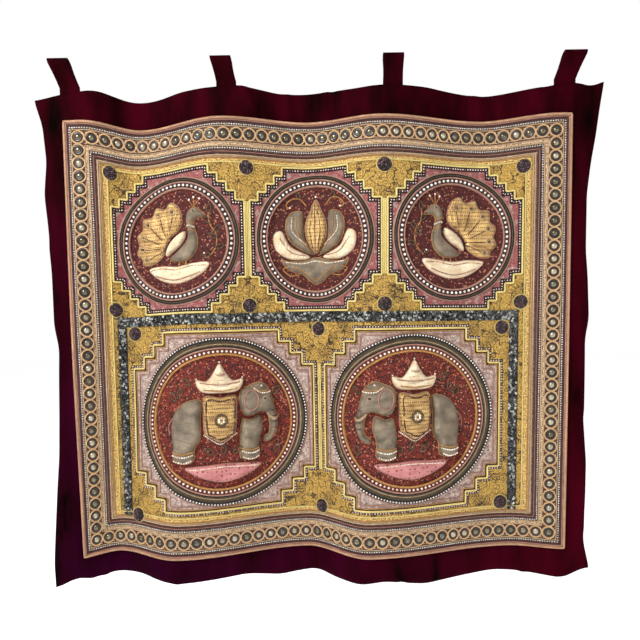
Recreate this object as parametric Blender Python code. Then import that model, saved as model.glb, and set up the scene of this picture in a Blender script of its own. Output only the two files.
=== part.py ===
"""Kalaga tapestry: an embroidered panel sewn to a velvet ground that hangs in folds from four tabs.

Every piece is laid out flat first, in the cloth's own coordinates, and then hung: x runs across the
cloth, y up it from the top hem, and z out of its face.  The hung cloth faces -Y and its tabs close round
the X axis, where a rod would run.
"""

import math
from collections import namedtuple
from functools import lru_cache

import bmesh
import bpy
import numpy as np
from mathutils import Matrix, Vector

MM = 0.001

# Flat cloth
GROUND_DROP = 972 * MM
GROUND_THICKNESS = 2.0 * MM
PANEL_WIDTH = 1042 * MM
PANEL_DROP = 865 * MM
PANEL_TOP = 56 * MM
PANEL_THICKNESS = 1.6 * MM
SEWN_GAP = 0.5 * MM
PANEL_BACK = SEWN_GAP
PANEL_FACE = PANEL_BACK + PANEL_THICKNESS
RAISED_BASE = PANEL_FACE + SEWN_GAP

# The hung cloth, seen from the front, in millimetres: ridges come forward, valleys go back
HEM_HEIGHT = -54 * MM
FoldLine = namedtuple("FoldLine", "name x_top x_foot depth_top depth_foot sag_top sag_foot")
FOLD_LINES = (
    FoldLine("past the left edge", -720, -740, 4, -14, 0, 4),
    FoldLine("left edge", -552, -580, 4, -14, 0, 4),
    FoldLine("ridge below tab 1", -456, -517, 2, -21, -2, 4),
    FoldLine("left valley", -350, -423, 43, 27, 14, 0),
    FoldLine("ridge below tab 2", -181, -302, -6, -26, -4, 5),
    FoldLine("middle valley", -17, -33, 38, 40, 4, 1),
    FoldLine("ridge below tab 3", 127, 85, -10, -39, -2, 4),
    FoldLine("right valley", 324, 383, 39, 27, 8, 3),
    FoldLine("ridge below tab 4", 470, 491, -2, -6, 0, 1),
    FoldLine("right edge", 566, 560, 6, 2, 0, 1),
    FoldLine("past the right edge", 720, 720, 6, 2, 0, 1),
)
CREASE_SPACING = 32
CUT_SNAP = 0.03 * MM
ROW_DROPS = tuple((-12 + 125 * step) * MM for step in range(9))

# Width of the velvet beyond the panel, by place along each edge, as unevenly cut and hemmed
EdgeWidth = namedtuple("EdgeWidth", "place width")
LEFT_BORDER = tuple(EdgeWidth(*row) for row in (
    (15, 56), (64, 42), (133, 37), (197, 44), (263, 39), (339, 36), (454, 36), (499, 28),
    (558, 31), (638, 34), (715, 38), (779, 45), (873, 54), (929, 59), (977, 58),
))
RIGHT_BORDER = tuple(EdgeWidth(*row) for row in (
    (-6, 65), (46, 57), (100, 50), (153, 41), (213, 34), (323, 34), (376, 39), (460, 43),
    (500, 34), (658, 35), (749, 43), (802, 42), (842, 39), (910, 40), (964, 53),
))
TOP_BORDER = tuple(EdgeWidth(*row) for row in (
    (-577, 41), (-526, 51), (-452, 60), (-392, 55), (-342, 57), (-285, 63), (-203, 57), (-162, 60),
    (-78, 53), (12, 58), (87, 55), (229, 59), (351, 50), (478, 53), (530, 59), (561, 51), (586, 62),
))
FOOT_BORDER = tuple(EdgeWidth(*row) for row in (
    (-579, 56), (-538, 38), (-496, 48), (-390, 41), (-301, 49), (-166, 46), (-94, 59), (-16, 49),
    (21, 54), (89, 53), (143, 47), (228, 61), (338, 54), (377, 51), (516, 61), (556, 44), (574, 43),
))

# Tabs: places and widths on the hem, and how far each leans at the rod
TAB_THICKNESS = 2.0 * MM
TAB_GAP = 0.5 * MM
TAB_RISE = 4 * MM
TAB_SEWN = 34 * MM
TAB_LOOP_RADIUS = 9 * MM
TAB_ARC_STEPS = 6
Tab = namedtuple("Tab", "name place width lean")
TABS = (
    Tab("tab_1", -507, 39, -16),
    Tab("tab_2", -182.5, 40, -9),
    Tab("tab_3", 158, 40, 1),
    Tab("tab_4", 507, 43, 17),
)

# Relief on the panel
FRAME_WIDTH = 6 * MM
FRAME_HEIGHT = 2.4 * MM
BAND_HEIGHT = 2.2 * MM
RING_HEIGHT = 3.6 * MM
RING_SHOULDER = 4 * MM
RING_STEPS = 28
BOSS_RADIUS = 11.5 * MM
BOSS_HEIGHT = 6.5 * MM
BOSS_SIDES = 8
Frame = namedtuple("Frame", "name left right top foot step steps")
FRAMES = (
    Frame("frame_top_left", -432, -154, 150, 428, 17, 4),
    Frame("frame_top_middle", -142, 135, 150, 428, 17, 4),
    Frame("frame_top_right", 146, 421, 150, 428, 17, 4),
    Frame("frame_bottom_left", -406, -9, 463, 834, 24, 3),
    Frame("frame_bottom_right", 3, 394, 463, 834, 24, 3),
)
Ring = namedtuple("Ring", "name x drop radius_x radius_y width")
RINGS = (
    Ring("ring_top_left", -291, 290, 127, 126, 25),
    Ring("ring_top_middle", -5, 288, 126, 127, 25),
    Ring("ring_top_right", 284, 287, 125, 125, 25),
    Ring("ring_bottom_left", -207, 650, 177, 170, 37),
    Ring("ring_bottom_right", 197, 648, 177, 170, 37),
)
BAND_LEFT, BAND_RIGHT = -431, 424
BAND_TOP, BAND_FOOT = 436, 455
LEG_WIDTH = 18
LEG_FOOT = 845
Boss = namedtuple("Boss", "x drop")
BOSSES = (
    Boss(-435, 150), Boss(-148, 152), Boss(140, 152), Boss(430, 152),
    Boss(-433, 421), Boss(-147, 421), Boss(141, 421), Boss(428, 420),
    Boss(-395, 470), Boss(-3, 470), Boss(391, 470),
    Boss(-397, 842), Boss(-1, 834), Boss(391, 830),
)

# Padded motifs: outlines from a medallion's centre, in millimetres, smoothed through their points
Motif = namedtuple("Motif", "name height outline")
PEACOCK = (
    Motif("body", 11, (
        (-14, -35), (6, -42), (28, -38), (43, -21), (46, 2), (40, 20), (39, 34), (47, 42), (63, 41),
        (55, 52), (42, 62), (28, 56), (23, 38), (27, 16), (24, -1), (10, -15),
    )),
    Motif("wing", 12, (
        (-24, -28), (-6, -19), (9, -9), (19, 4), (19, 16), (8, 14), (-8, 4), (-20, -10),
    )),
    Motif("tail", 9, (
        (-33, -26), (-27, -8), (-13, 9), (3, 20), (12, 32), (11, 52), (2, 70), (-15, 78), (-28, 67),
        (-48, 72), (-58, 55), (-78, 52), (-80, 31), (-92, 18), (-88, 0), (-93, -17), (-82, -29),
        (-79, -41), (-57, -41),
    )),
    Motif("base", 7, (
        (-66, -50), (-34, -47), (0, -51), (34, -47), (66, -46), (56, -64), (30, -78), (0, -84),
        (-32, -78), (-56, -64),
    )),
)
LOTUS = (
    Motif("petal_middle", 11, (
        (0, -30), (20, -2), (23, 28), (12, 56), (0, 78), (-12, 56), (-23, 28), (-20, -2),
    )),
    Motif("petal_left", 10, ((-8, -32), (-25, -2), (-28, 26), (-30, 54), (-54, 50), (-64, 22), (-50, -10))),
    Motif("petal_right", 10, ((8, -32), (50, -10), (64, 22), (54, 50), (30, 54), (28, 26), (25, -2))),
    Motif("petal_low_left", 9, ((-14, -37), (-54, -16), (-72, 14), (-89, 6), (-84, -24), (-52, -42))),
    Motif("petal_low_right", 9, ((14, -37), (52, -42), (84, -24), (89, 6), (72, 14), (54, -16))),
    Motif("calyx", 9, (
        (0, -38), (26, -44), (58, -46), (74, -42), (60, -62), (30, -72), (14, -86), (0, -92),
        (-14, -86), (-30, -72), (-60, -62), (-74, -42), (-58, -46), (-26, -44),
    )),
)
ELEPHANT = (
    Motif("hind", 13, (
        (-42, 44), (-70, 42), (-92, 22), (-100, -10), (-98, -46), (-98, -74), (-78, -80), (-60, -74),
        (-57, -50), (-45, -30), (-44, 8),
    )),
    Motif("fore", 13, (
        (40, 2), (56, 0), (74, 8), (80, -14), (72, -44), (72, -74), (52, -80), (34, -74),
        (34, -46), (34, -24),
    )),
    Motif("head", 14, (
        (34, 44), (40, 62), (56, 70), (76, 76), (94, 64), (102, 42), (108, 16), (112, -12), (102, -38),
        (86, -46), (84, -36), (94, -28), (96, -8), (90, 12), (78, 17), (60, 10), (42, 14),
    )),
    Motif("blanket", 15, (
        (-34, 52), (-4, 48), (26, 52), (28, 22), (24, -22), (12, -30), (-6, -40), (-24, -30), (-36, -22),
        (-38, 16),
    )),
    Motif("seat", 12, (
        (-40, 62), (-4, 58), (32, 62), (42, 84), (22, 82), (8, 98), (-4, 116), (-16, 98), (-30, 82),
        (-50, 84),
    )),
    Motif("base", 9, (
        (-76, -88), (-38, -86), (0, -84), (38, -86), (76, -88), (60, -102), (32, -114), (0, -120),
        (-32, -114), (-60, -102),
    )),
)
Medallion = namedtuple("Medallion", "name motifs ring mirror")
MEDALLIONS = (
    Medallion("peacock_left", PEACOCK, 0, 1),
    Medallion("lotus", LOTUS, 1, 1),
    Medallion("peacock_right", PEACOCK, 2, -1),
    Medallion("elephant_left", ELEPHANT, 3, 1),
    Medallion("elephant_right", ELEPHANT, 4, -1),
)
OUTLINE_STEPS = 2
PAD_WALL = 0.5
PAD_SHOULDER = 4 * MM

Finish = namedtuple("Finish", "colour roughness metallic")
FINISHES = {
    "maroon_velvet": Finish((0.045, 0.002, 0.010), 0.85, 0.0),
    "embroidered_ground": Finish((0.42, 0.27, 0.12), 0.60, 0.25),
    "couched_cord": Finish((0.76, 0.62, 0.28), 0.50, 0.30),
    "beadwork": Finish((0.13, 0.07, 0.05), 0.40, 0.20),
    "sequins": Finish((0.03, 0.03, 0.03), 0.35, 0.50),
    "boss_sequins": Finish((0.06, 0.02, 0.04), 0.30, 0.60),
    "padded_satin": Finish((0.20, 0.17, 0.12), 0.40, 0.10),
    "padded_gold": Finish((0.60, 0.42, 0.18), 0.45, 0.35),
    "padded_cream": Finish((0.80, 0.72, 0.55), 0.50, 0.05),
}
MOTIF_FINISHES = {
    "body": "padded_satin", "wing": "padded_gold", "tail": "padded_gold", "base": "padded_cream",
    "petal_middle": "padded_gold", "petal_left": "padded_satin", "petal_right": "padded_satin",
    "petal_low_left": "padded_cream", "petal_low_right": "padded_cream", "calyx": "padded_satin",
    "hind": "padded_satin", "fore": "padded_satin", "head": "padded_satin",
    "blanket": "padded_gold", "seat": "padded_gold",
}


def clear_scene():
    for item in list(bpy.data.objects):
        bpy.data.objects.remove(item, do_unlink=True)


@lru_cache(maxsize=None)
def material(name):
    finish = FINISHES[name]
    made = bpy.data.materials.new(name)
    made.use_nodes = True
    shader = made.node_tree.nodes["Principled BSDF"]
    shader.inputs["Base Color"].default_value = (*finish.colour, 1.0)
    shader.inputs["Roughness"].default_value = finish.roughness
    shader.inputs["Metallic"].default_value = finish.metallic
    made.diffuse_color = (*finish.colour, 1.0)
    return made


def add_object(bm, name, finish):
    mesh = bpy.data.meshes.new(name)
    bm.to_mesh(mesh)
    bm.free()
    mesh.materials.append(material(finish))
    made = bpy.data.objects.new(name, mesh)
    bpy.context.scene.collection.objects.link(made)
    return made


# Hanging the cloth

def crease_lines():
    """The straight lines down the hung cloth that its facets meet at, from one fold line to the next."""
    lines = []
    for start, end in zip(FOLD_LINES, FOLD_LINES[1:]):
        reach = max(end.x_top - start.x_top, end.x_foot - start.x_foot)
        count = max(1, round(reach / CREASE_SPACING))
        for step in range(count):
            part = step / count
            ease = part * part * (3 - 2 * part)
            shares = (part, part, ease, ease, ease, ease)
            lines.append([a + (b - a) * share for a, b, share in zip(start[1:], end[1:], shares)])
    return lines + [list(FOLD_LINES[-1][1:])]


def hang_row(drop):
    """The flat and the hung places of the creases at one drop from the hem."""
    share = drop / GROUND_DROP
    hung = []
    for x_top, x_foot, depth_top, depth_foot, sag_top, sag_foot in CREASES:
        across = x_top + (x_foot - x_top) * share
        depth = depth_top + (depth_foot - depth_top) * share
        sag = sag_top + (sag_foot - sag_top) * share
        hung.append(Vector((across * MM, depth * MM, HEM_HEIGHT - drop - sag * MM)))
    flat = [0.0]
    for start, end in zip(hung, hung[1:]):
        flat.append(flat[-1] + math.hypot(end.x - start.x, end.y - start.y))
    middle = np.interp(0, [point.x for point in hung], flat)
    return [place - middle for place in flat], hung


def facings(rows):
    """The direction out of the cloth's face at every node of the rows."""
    made = []
    for row, points in enumerate(rows):
        above, below = rows[max(row - 1, 0)], rows[min(row + 1, len(rows) - 1)]
        made.append([
            (points[min(column + 1, len(points) - 1)] - points[max(column - 1, 0)])
            .cross(above[column] - below[column]).normalized()
            for column in range(len(points))
        ])
    return made


CREASES = crease_lines()
FLAT_ROWS, HUNG_ROWS = zip(*(hang_row(drop) for drop in ROW_DROPS))
FACING_ROWS = facings(HUNG_ROWS)


def facet_at(x, drop):
    """The row and column of the four-cornered facet under a flat place, and how far down it that is."""
    row = int(np.clip(np.searchsorted(ROW_DROPS, drop) - 1, 0, len(ROW_DROPS) - 2))
    down = (drop - ROW_DROPS[row]) / (ROW_DROPS[row + 1] - ROW_DROPS[row])
    places = np.array(FLAT_ROWS[row]) * (1 - down) + np.array(FLAT_ROWS[row + 1]) * down
    column = int(np.clip(np.searchsorted(places, x) - 1, 0, len(places) - 2))
    return row, column, down


def on_cloth(x, drop, lift):
    """Where a place on the flat cloth, raised off its face, hangs: each facet bends on its diagonal."""
    row, column, down = facet_at(x, drop)
    corners = {}
    for index in (row, row + 1):
        for side in (column, column + 1):
            hung = HUNG_ROWS[index][side] + FACING_ROWS[index][side] * lift
            corners[index - row, side - column] = FLAT_ROWS[index][side], hung
    diagonal = corners[0, 0][0] * (1 - down) + corners[1, 1][0] * down
    on_diagonal = corners[0, 0][1].lerp(corners[1, 1][1], down)
    side = 1 if x >= diagonal else 0
    edge = corners[0, side][0] * (1 - down) + corners[1, side][0] * down
    on_edge = corners[0, side][1].lerp(corners[1, side][1], down)
    reach = edge - diagonal
    return on_diagonal.lerp(on_edge, (x - diagonal) / reach if abs(reach) > CUT_SNAP else 0)


def crease_piece(bm, diagonals):
    """Cut a flat piece's faces along the cloth's rows and creases, and its facets' diagonals if asked."""
    for drop in ROW_DROPS[1:-1]:
        cut_faces(bm, bm.faces[:], Vector((0, -drop, 0)), Vector((0, 1, 0)))
    for row, (top, foot) in enumerate(zip(ROW_DROPS, ROW_DROPS[1:])):
        for start_x, end_x in zip(FLAT_ROWS[row], FLAT_ROWS[row + 1]):
            band = [face for face in bm.faces if -foot < face.calc_center_bounds().y < -top]
            cut_between(bm, band, (start_x, -top), (end_x, -foot))
    if not diagonals:
        return
    facets = {}
    for face in bm.faces:
        middle = face.calc_center_median()
        facets.setdefault(facet_at(middle.x, -middle.y)[:2], []).append(face)
    for (row, column), faces in facets.items():
        start = FLAT_ROWS[row][column], -ROW_DROPS[row]
        end = FLAT_ROWS[row + 1][column + 1], -ROW_DROPS[row + 1]
        cut_between(bm, faces, start, end)


def cut_between(bm, faces, start, end):
    """Split faces along the upright plane through two flat places."""
    along = Vector((end[0] - start[0], end[1] - start[1], 0))
    cut_faces(bm, faces, Vector((*start, 0)), along.cross(Vector((0, 0, 1))).normalized())


def cut_faces(bm, faces, point, normal):
    """Split faces along an upright plane, if it passes through them."""
    verts = {vert for face in faces for vert in face.verts}
    sides = [(vert.co - point).dot(normal) for vert in verts]
    if sides and min(sides) < -CUT_SNAP and max(sides) > CUT_SNAP:
        edges = {edge for face in faces for edge in face.edges}
        bmesh.ops.bisect_plane(
            bm, geom=list(verts) + list(edges) + faces, dist=CUT_SNAP, plane_co=point, plane_no=normal)


def hang_piece(bm, name, finish, diagonals=False):
    """Crease a flat piece along the cloth's facets, and move it on to the hung cloth."""
    crease_piece(bm, diagonals)
    bmesh.ops.recalc_face_normals(bm, faces=bm.faces)
    bmesh.ops.triangulate(bm, faces=bm.faces)
    for vert in bm.verts:
        vert.co = on_cloth(vert.co.x, -vert.co.y, vert.co.z)
    return add_object(bm, name, finish)


def flat_face(bm, outline, lift):
    face = bm.faces.new([bm.verts.new((x, y, lift)) for x, y in outline])
    face.normal_update()
    return face


def raise_faces(bm, faces, height):
    """Give flat faces a height, and keep the flat ones as the underside."""
    made = bmesh.ops.extrude_face_region(bm, geom=faces, use_keep_orig=True)["geom"]
    tops = [item for item in made if isinstance(item, bmesh.types.BMVert)]
    bmesh.ops.translate(bm, verts=tops, vec=(0, 0, height))
    return [item for item in made if isinstance(item, bmesh.types.BMFace)]


# The two cloths

def ground_outline():
    """The ground's hemmed outline: its border widths set out from the panel's edges."""
    half, foot = PANEL_WIDTH / 2, PANEL_TOP + PANEL_DROP
    top = [(row.place * MM, row.width * MM - PANEL_TOP) for row in TOP_BORDER]
    right = [(half + row.width * MM, -row.place * MM) for row in RIGHT_BORDER]
    bottom = [(row.place * MM, -foot - row.width * MM) for row in FOOT_BORDER]
    left = [(-half - row.width * MM, -row.place * MM) for row in LEFT_BORDER]
    return top + right[1:-1] + bottom[::-1] + left[-2:0:-1]


def make_ground():
    bm = bmesh.new()
    sheet = flat_face(bm, ground_outline(), -GROUND_THICKNESS)
    raise_faces(bm, [sheet], GROUND_THICKNESS)
    return hang_piece(bm, "velvet_ground", "maroon_velvet", diagonals=True)


def make_panel():
    half, foot = PANEL_WIDTH / 2, PANEL_TOP + PANEL_DROP
    bm = bmesh.new()
    outline = ((-half, -PANEL_TOP), (-half, -foot), (half, -foot), (half, -PANEL_TOP))
    sheet = flat_face(bm, outline, PANEL_BACK)
    raise_faces(bm, [sheet], PANEL_THICKNESS)
    return hang_piece(bm, "embroidered_panel", "embroidered_ground", diagonals=True)


# Pieces sewn on the panel

def stepped_corner(corner_x, corner_y, way_x, way_y, step, steps):
    """Points up one stepped corner of a frame, from its upright side to its level one."""
    points = []
    for count in range(steps):
        x = corner_x + way_x * step * count
        y = corner_y + way_y * step * (steps - count)
        points += [(x, y), (x + way_x * step, y)]
    points.append((corner_x + way_x * step * steps, corner_y))
    return points


def make_frame(frame):
    left, right = frame.left * MM, frame.right * MM
    top, foot = -frame.top * MM, -frame.foot * MM
    step, steps = frame.step * MM, frame.steps
    outline = stepped_corner(left, top, 1, -1, step, steps)
    outline += stepped_corner(right, top, -1, -1, step, steps)[::-1]
    outline += stepped_corner(right, foot, -1, 1, step, steps)
    outline += stepped_corner(left, foot, 1, 1, step, steps)[::-1]
    bm = bmesh.new()
    field = flat_face(bm, outline, RAISED_BASE)
    rail = bmesh.ops.inset_region(
        bm, faces=[field], thickness=FRAME_WIDTH, use_even_offset=True, use_boundary=True)["faces"]
    bmesh.ops.delete(bm, geom=[field], context="FACES_ONLY")
    raise_faces(bm, rail, FRAME_HEIGHT)
    return hang_piece(bm, frame.name, "couched_cord")


def make_ring(ring):
    """The beaded ring round a medallion: a low rounded band turned about the centre."""
    outer = ring.radius_x * MM
    inner = outer - ring.width * MM
    section = (
        (inner, 0), (inner + RING_SHOULDER, RING_HEIGHT), (outer - RING_SHOULDER, RING_HEIGHT), (outer, 0),
    )
    bm = bmesh.new()
    verts = [bm.verts.new((radius, 0, RAISED_BASE + height)) for radius, height in section]
    edges = [bm.edges.new(pair) for pair in zip(verts, verts[1:] + verts[:1])]
    bmesh.ops.spin(
        bm, geom=verts + edges, cent=(0, 0, 0), axis=(0, 0, 1), angle=math.tau, steps=RING_STEPS,
        use_merge=True)
    squash = Matrix.Diagonal((1, ring.radius_y / ring.radius_x, 1, 1))
    place = Matrix.Translation((ring.x * MM, -ring.drop * MM, 0))
    bmesh.ops.transform(bm, matrix=place @ squash, verts=bm.verts)
    return hang_piece(bm, ring.name, "beadwork")


def make_band():
    """The dark sequin band: a bar between the two rows of medallions, with a leg down each side."""
    left, right = BAND_LEFT * MM, BAND_RIGHT * MM
    top, foot, leg_foot = -BAND_TOP * MM, -BAND_FOOT * MM, -LEG_FOOT * MM
    leg = LEG_WIDTH * MM
    bm = bmesh.new()
    band = flat_face(bm, (
        (left, top), (left, leg_foot), (left + leg, leg_foot), (left + leg, foot),
        (right - leg, foot), (right - leg, leg_foot), (right, leg_foot), (right, top),
    ), RAISED_BASE)
    raise_faces(bm, [band], BAND_HEIGHT)
    return hang_piece(bm, "sequin_band", "sequins")


def make_boss(count, boss):
    bm = bmesh.new()
    made = bmesh.ops.create_circle(bm, cap_ends=True, segments=BOSS_SIDES, radius=BOSS_RADIUS)
    place = Matrix.Translation((boss.x * MM, -boss.drop * MM, RAISED_BASE))
    bmesh.ops.transform(bm, matrix=place, verts=made["verts"])
    top = raise_faces(bm, bm.faces[:], BOSS_HEIGHT * 0.4)
    bmesh.ops.inset_region(
        bm, faces=top, thickness=BOSS_RADIUS * 0.45, depth=BOSS_HEIGHT * 0.6, use_even_offset=True)
    return hang_piece(bm, f"boss_{count}", "boss_sequins")


def smooth_outline(points):
    """A closed outline through the points, with a curve between each two."""
    count = len(points)
    outline = []
    for index in range(count):
        before, start, end, after = (Vector(points[(index + shift) % count]) for shift in (-1, 0, 1, 2))
        for step in range(OUTLINE_STEPS):
            t = step / OUTLINE_STEPS
            outline.append(0.5 * (
                2 * start + (end - before) * t
                + (2 * before - 5 * start + 4 * end - after) * t ** 2
                + (3 * start - before - 3 * end + after) * t ** 3
            ))
    return outline


def make_motif(medallion, motif):
    """One padded piece of a medallion's figure: its outline, raised and rounded over."""
    ring = RINGS[medallion.ring]
    outline = [
        ((ring.x + medallion.mirror * point.x) * MM, (point.y - ring.drop) * MM)
        for point in smooth_outline(motif.outline)
    ]
    height = motif.height * MM
    bm = bmesh.new()
    flat_face(bm, outline, RAISED_BASE)
    top = raise_faces(bm, bm.faces[:], height * PAD_WALL)
    bmesh.ops.recalc_face_normals(bm, faces=bm.faces)
    bmesh.ops.inset_region(
        bm, faces=top, thickness=PAD_SHOULDER, depth=height * (1 - PAD_WALL), use_even_offset=True)
    return hang_piece(bm, f"{medallion.name}_{motif.name}", MOTIF_FINISHES[motif.name])


# Tabs

def make_tab(tab):
    """A strip of velvet folded over the rod, its two ends sewn one behind the other under the hem."""
    place, half = tab.place * MM, tab.width * MM / 2
    hem_drop = PANEL_TOP - max(row.width for row in TOP_BORDER if abs(row.place - tab.place) < 75) * MM
    hem_drop -= TAB_RISE
    creases = [np.interp(hem_drop, ROW_DROPS, flats) for flats in zip(*FLAT_ROWS)]
    across = [place - half] + [x for x in creases if place - half + MM < x < place + half - MM]
    across.append(place + half)
    middle = on_cloth(place, hem_drop, 0)
    front_lift = -GROUND_THICKNESS - TAB_GAP
    back_lift = front_lift - TAB_THICKNESS - TAB_GAP
    drops = (hem_drop + TAB_SEWN, hem_drop + TAB_SEWN / 2, hem_drop)

    outer, inner = [], []
    for drop in drops:
        outer.append([on_cloth(x, drop, front_lift) for x in across])
        inner.append([on_cloth(x, drop, front_lift - TAB_THICKNESS) for x in across])
    for step in range(TAB_ARC_STEPS + 1):
        angle = math.pi * step / TAB_ARC_STEPS
        for row, radius in ((outer, TAB_LOOP_RADIUS + TAB_THICKNESS), (inner, TAB_LOOP_RADIUS)):
            depth, height = -radius * math.cos(angle), radius * math.sin(angle)
            lean = tab.lean * MM * (height - middle.z) / -middle.z
            row.append([Vector((middle.x + x - place + lean, depth, height)) for x in across])
    for drop in drops[::-1]:
        outer.append([on_cloth(x, drop, back_lift - TAB_THICKNESS) for x in across])
        inner.append([on_cloth(x, drop, back_lift) for x in across])
    return strip_between(tab.name, "maroon_velvet", outer, inner)


def strip_between(name, finish, outer_rows, inner_rows):
    """A closed strip between two grids of points, made by bridging the loops round its sections."""
    bm = bmesh.new()
    loops = []
    for outer, inner in zip(outer_rows, inner_rows):
        verts = [bm.verts.new(point) for point in outer + inner[::-1]]
        loops.append([bm.edges.new(pair) for pair in zip(verts, verts[1:] + verts[:1])])
    for near, far in zip(loops, loops[1:]):
        bmesh.ops.bridge_loops(bm, edges=near + far)
    for ends in (loops[0], loops[-1]):
        bmesh.ops.contextual_create(bm, geom=ends)
    bmesh.ops.recalc_face_normals(bm, faces=bm.faces)
    bmesh.ops.triangulate(bm, faces=bm.faces)
    return add_object(bm, name, finish)


def build():
    clear_scene()
    make_ground()
    make_panel()
    for tab in TABS:
        make_tab(tab)
    for frame in FRAMES:
        make_frame(frame)
    for ring in RINGS:
        make_ring(ring)
    make_band()
    for count, boss in enumerate(BOSSES, 1):
        make_boss(count, boss)
    for medallion in MEDALLIONS:
        for motif in medallion.motifs:
            make_motif(medallion, motif)


build()
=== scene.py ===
"""Kalaga tapestry: the velvet, cord, beads, sequins and padded figures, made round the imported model.

Every piece is laid out flat in millimetres and then hung on the cloth's folds: x runs across the cloth
from its middle, y up it from the top hem, so that places on the cloth are negative, and z out of its face.
"""

from __future__ import annotations

import logging
import math
from dataclasses import dataclass, field
from enum import Enum
from typing import Any, Callable, Sequence

import bmesh
import bpy
import numpy as np
from mathutils import Matrix, Vector

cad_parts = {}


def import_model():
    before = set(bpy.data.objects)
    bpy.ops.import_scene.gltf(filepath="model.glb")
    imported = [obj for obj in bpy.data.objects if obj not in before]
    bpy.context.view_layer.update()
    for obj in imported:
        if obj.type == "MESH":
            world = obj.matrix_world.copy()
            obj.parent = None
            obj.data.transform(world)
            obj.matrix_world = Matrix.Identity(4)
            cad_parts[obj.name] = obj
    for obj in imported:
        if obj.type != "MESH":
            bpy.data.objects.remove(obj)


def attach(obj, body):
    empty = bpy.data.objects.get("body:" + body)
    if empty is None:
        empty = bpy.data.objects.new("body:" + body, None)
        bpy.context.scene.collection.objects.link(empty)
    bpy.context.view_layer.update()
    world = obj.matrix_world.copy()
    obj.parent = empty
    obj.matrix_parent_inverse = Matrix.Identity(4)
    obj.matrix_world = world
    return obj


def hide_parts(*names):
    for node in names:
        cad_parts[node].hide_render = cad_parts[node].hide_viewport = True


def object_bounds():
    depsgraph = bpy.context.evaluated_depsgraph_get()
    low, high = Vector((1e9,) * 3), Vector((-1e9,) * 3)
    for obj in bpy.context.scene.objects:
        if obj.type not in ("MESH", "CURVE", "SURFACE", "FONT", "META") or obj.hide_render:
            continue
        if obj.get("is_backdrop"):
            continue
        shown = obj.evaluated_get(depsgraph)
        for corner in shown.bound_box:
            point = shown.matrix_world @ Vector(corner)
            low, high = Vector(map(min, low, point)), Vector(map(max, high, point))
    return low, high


LOG = logging.getLogger("kalaga")
MM = 0.001
Colour = tuple[float, float, float]


def paint(red: float, green: float, blue: float) -> Colour:
    """Turn a colour as a screen shows it, from 0 to 255, into the linear one that a shader takes.

    Args:
        red: The red part.
        green: The green part.
        blue: The blue part.

    Returns:
        The linear colour.
    """
    parts = [part / 255 for part in (red, green, blue)]
    return tuple(part / 12.92 if part < 0.04 else ((part + 0.055) / 1.055) ** 2.4 for part in parts)


# The flat cloth and its folds

GROUND_DROP = 972.0
GROUND_THICKNESS = 2.0
PANEL_HALF = 521.0
PANEL_TOP = 56.0
PANEL_FOOT = 921.0
PANEL_THICKNESS = 1.6
PANEL_FACE = 2.1


@dataclass(frozen=True)
class FoldLine:
    """A line down the hung cloth where a fold turns: its place, depth and sag at the hem and at the foot."""

    x_top: float
    x_foot: float
    depth_top: float
    depth_foot: float
    sag_top: float
    sag_foot: float


FOLD_LINES = (
    FoldLine(-720, -740, 4, -14, 0, 4),
    FoldLine(-552, -580, 4, -14, 0, 4),
    FoldLine(-456, -517, 2, -21, -2, 4),
    FoldLine(-350, -423, 43, 27, 14, 0),
    FoldLine(-181, -302, -6, -26, -4, 5),
    FoldLine(-17, -33, 38, 40, 4, 1),
    FoldLine(127, 85, -10, -39, -2, 4),
    FoldLine(324, 383, 39, 27, 8, 3),
    FoldLine(470, 491, -2, -6, 0, 1),
    FoldLine(566, 560, 6, 2, 0, 1),
    FoldLine(720, 720, 6, 2, 0, 1),
)


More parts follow.
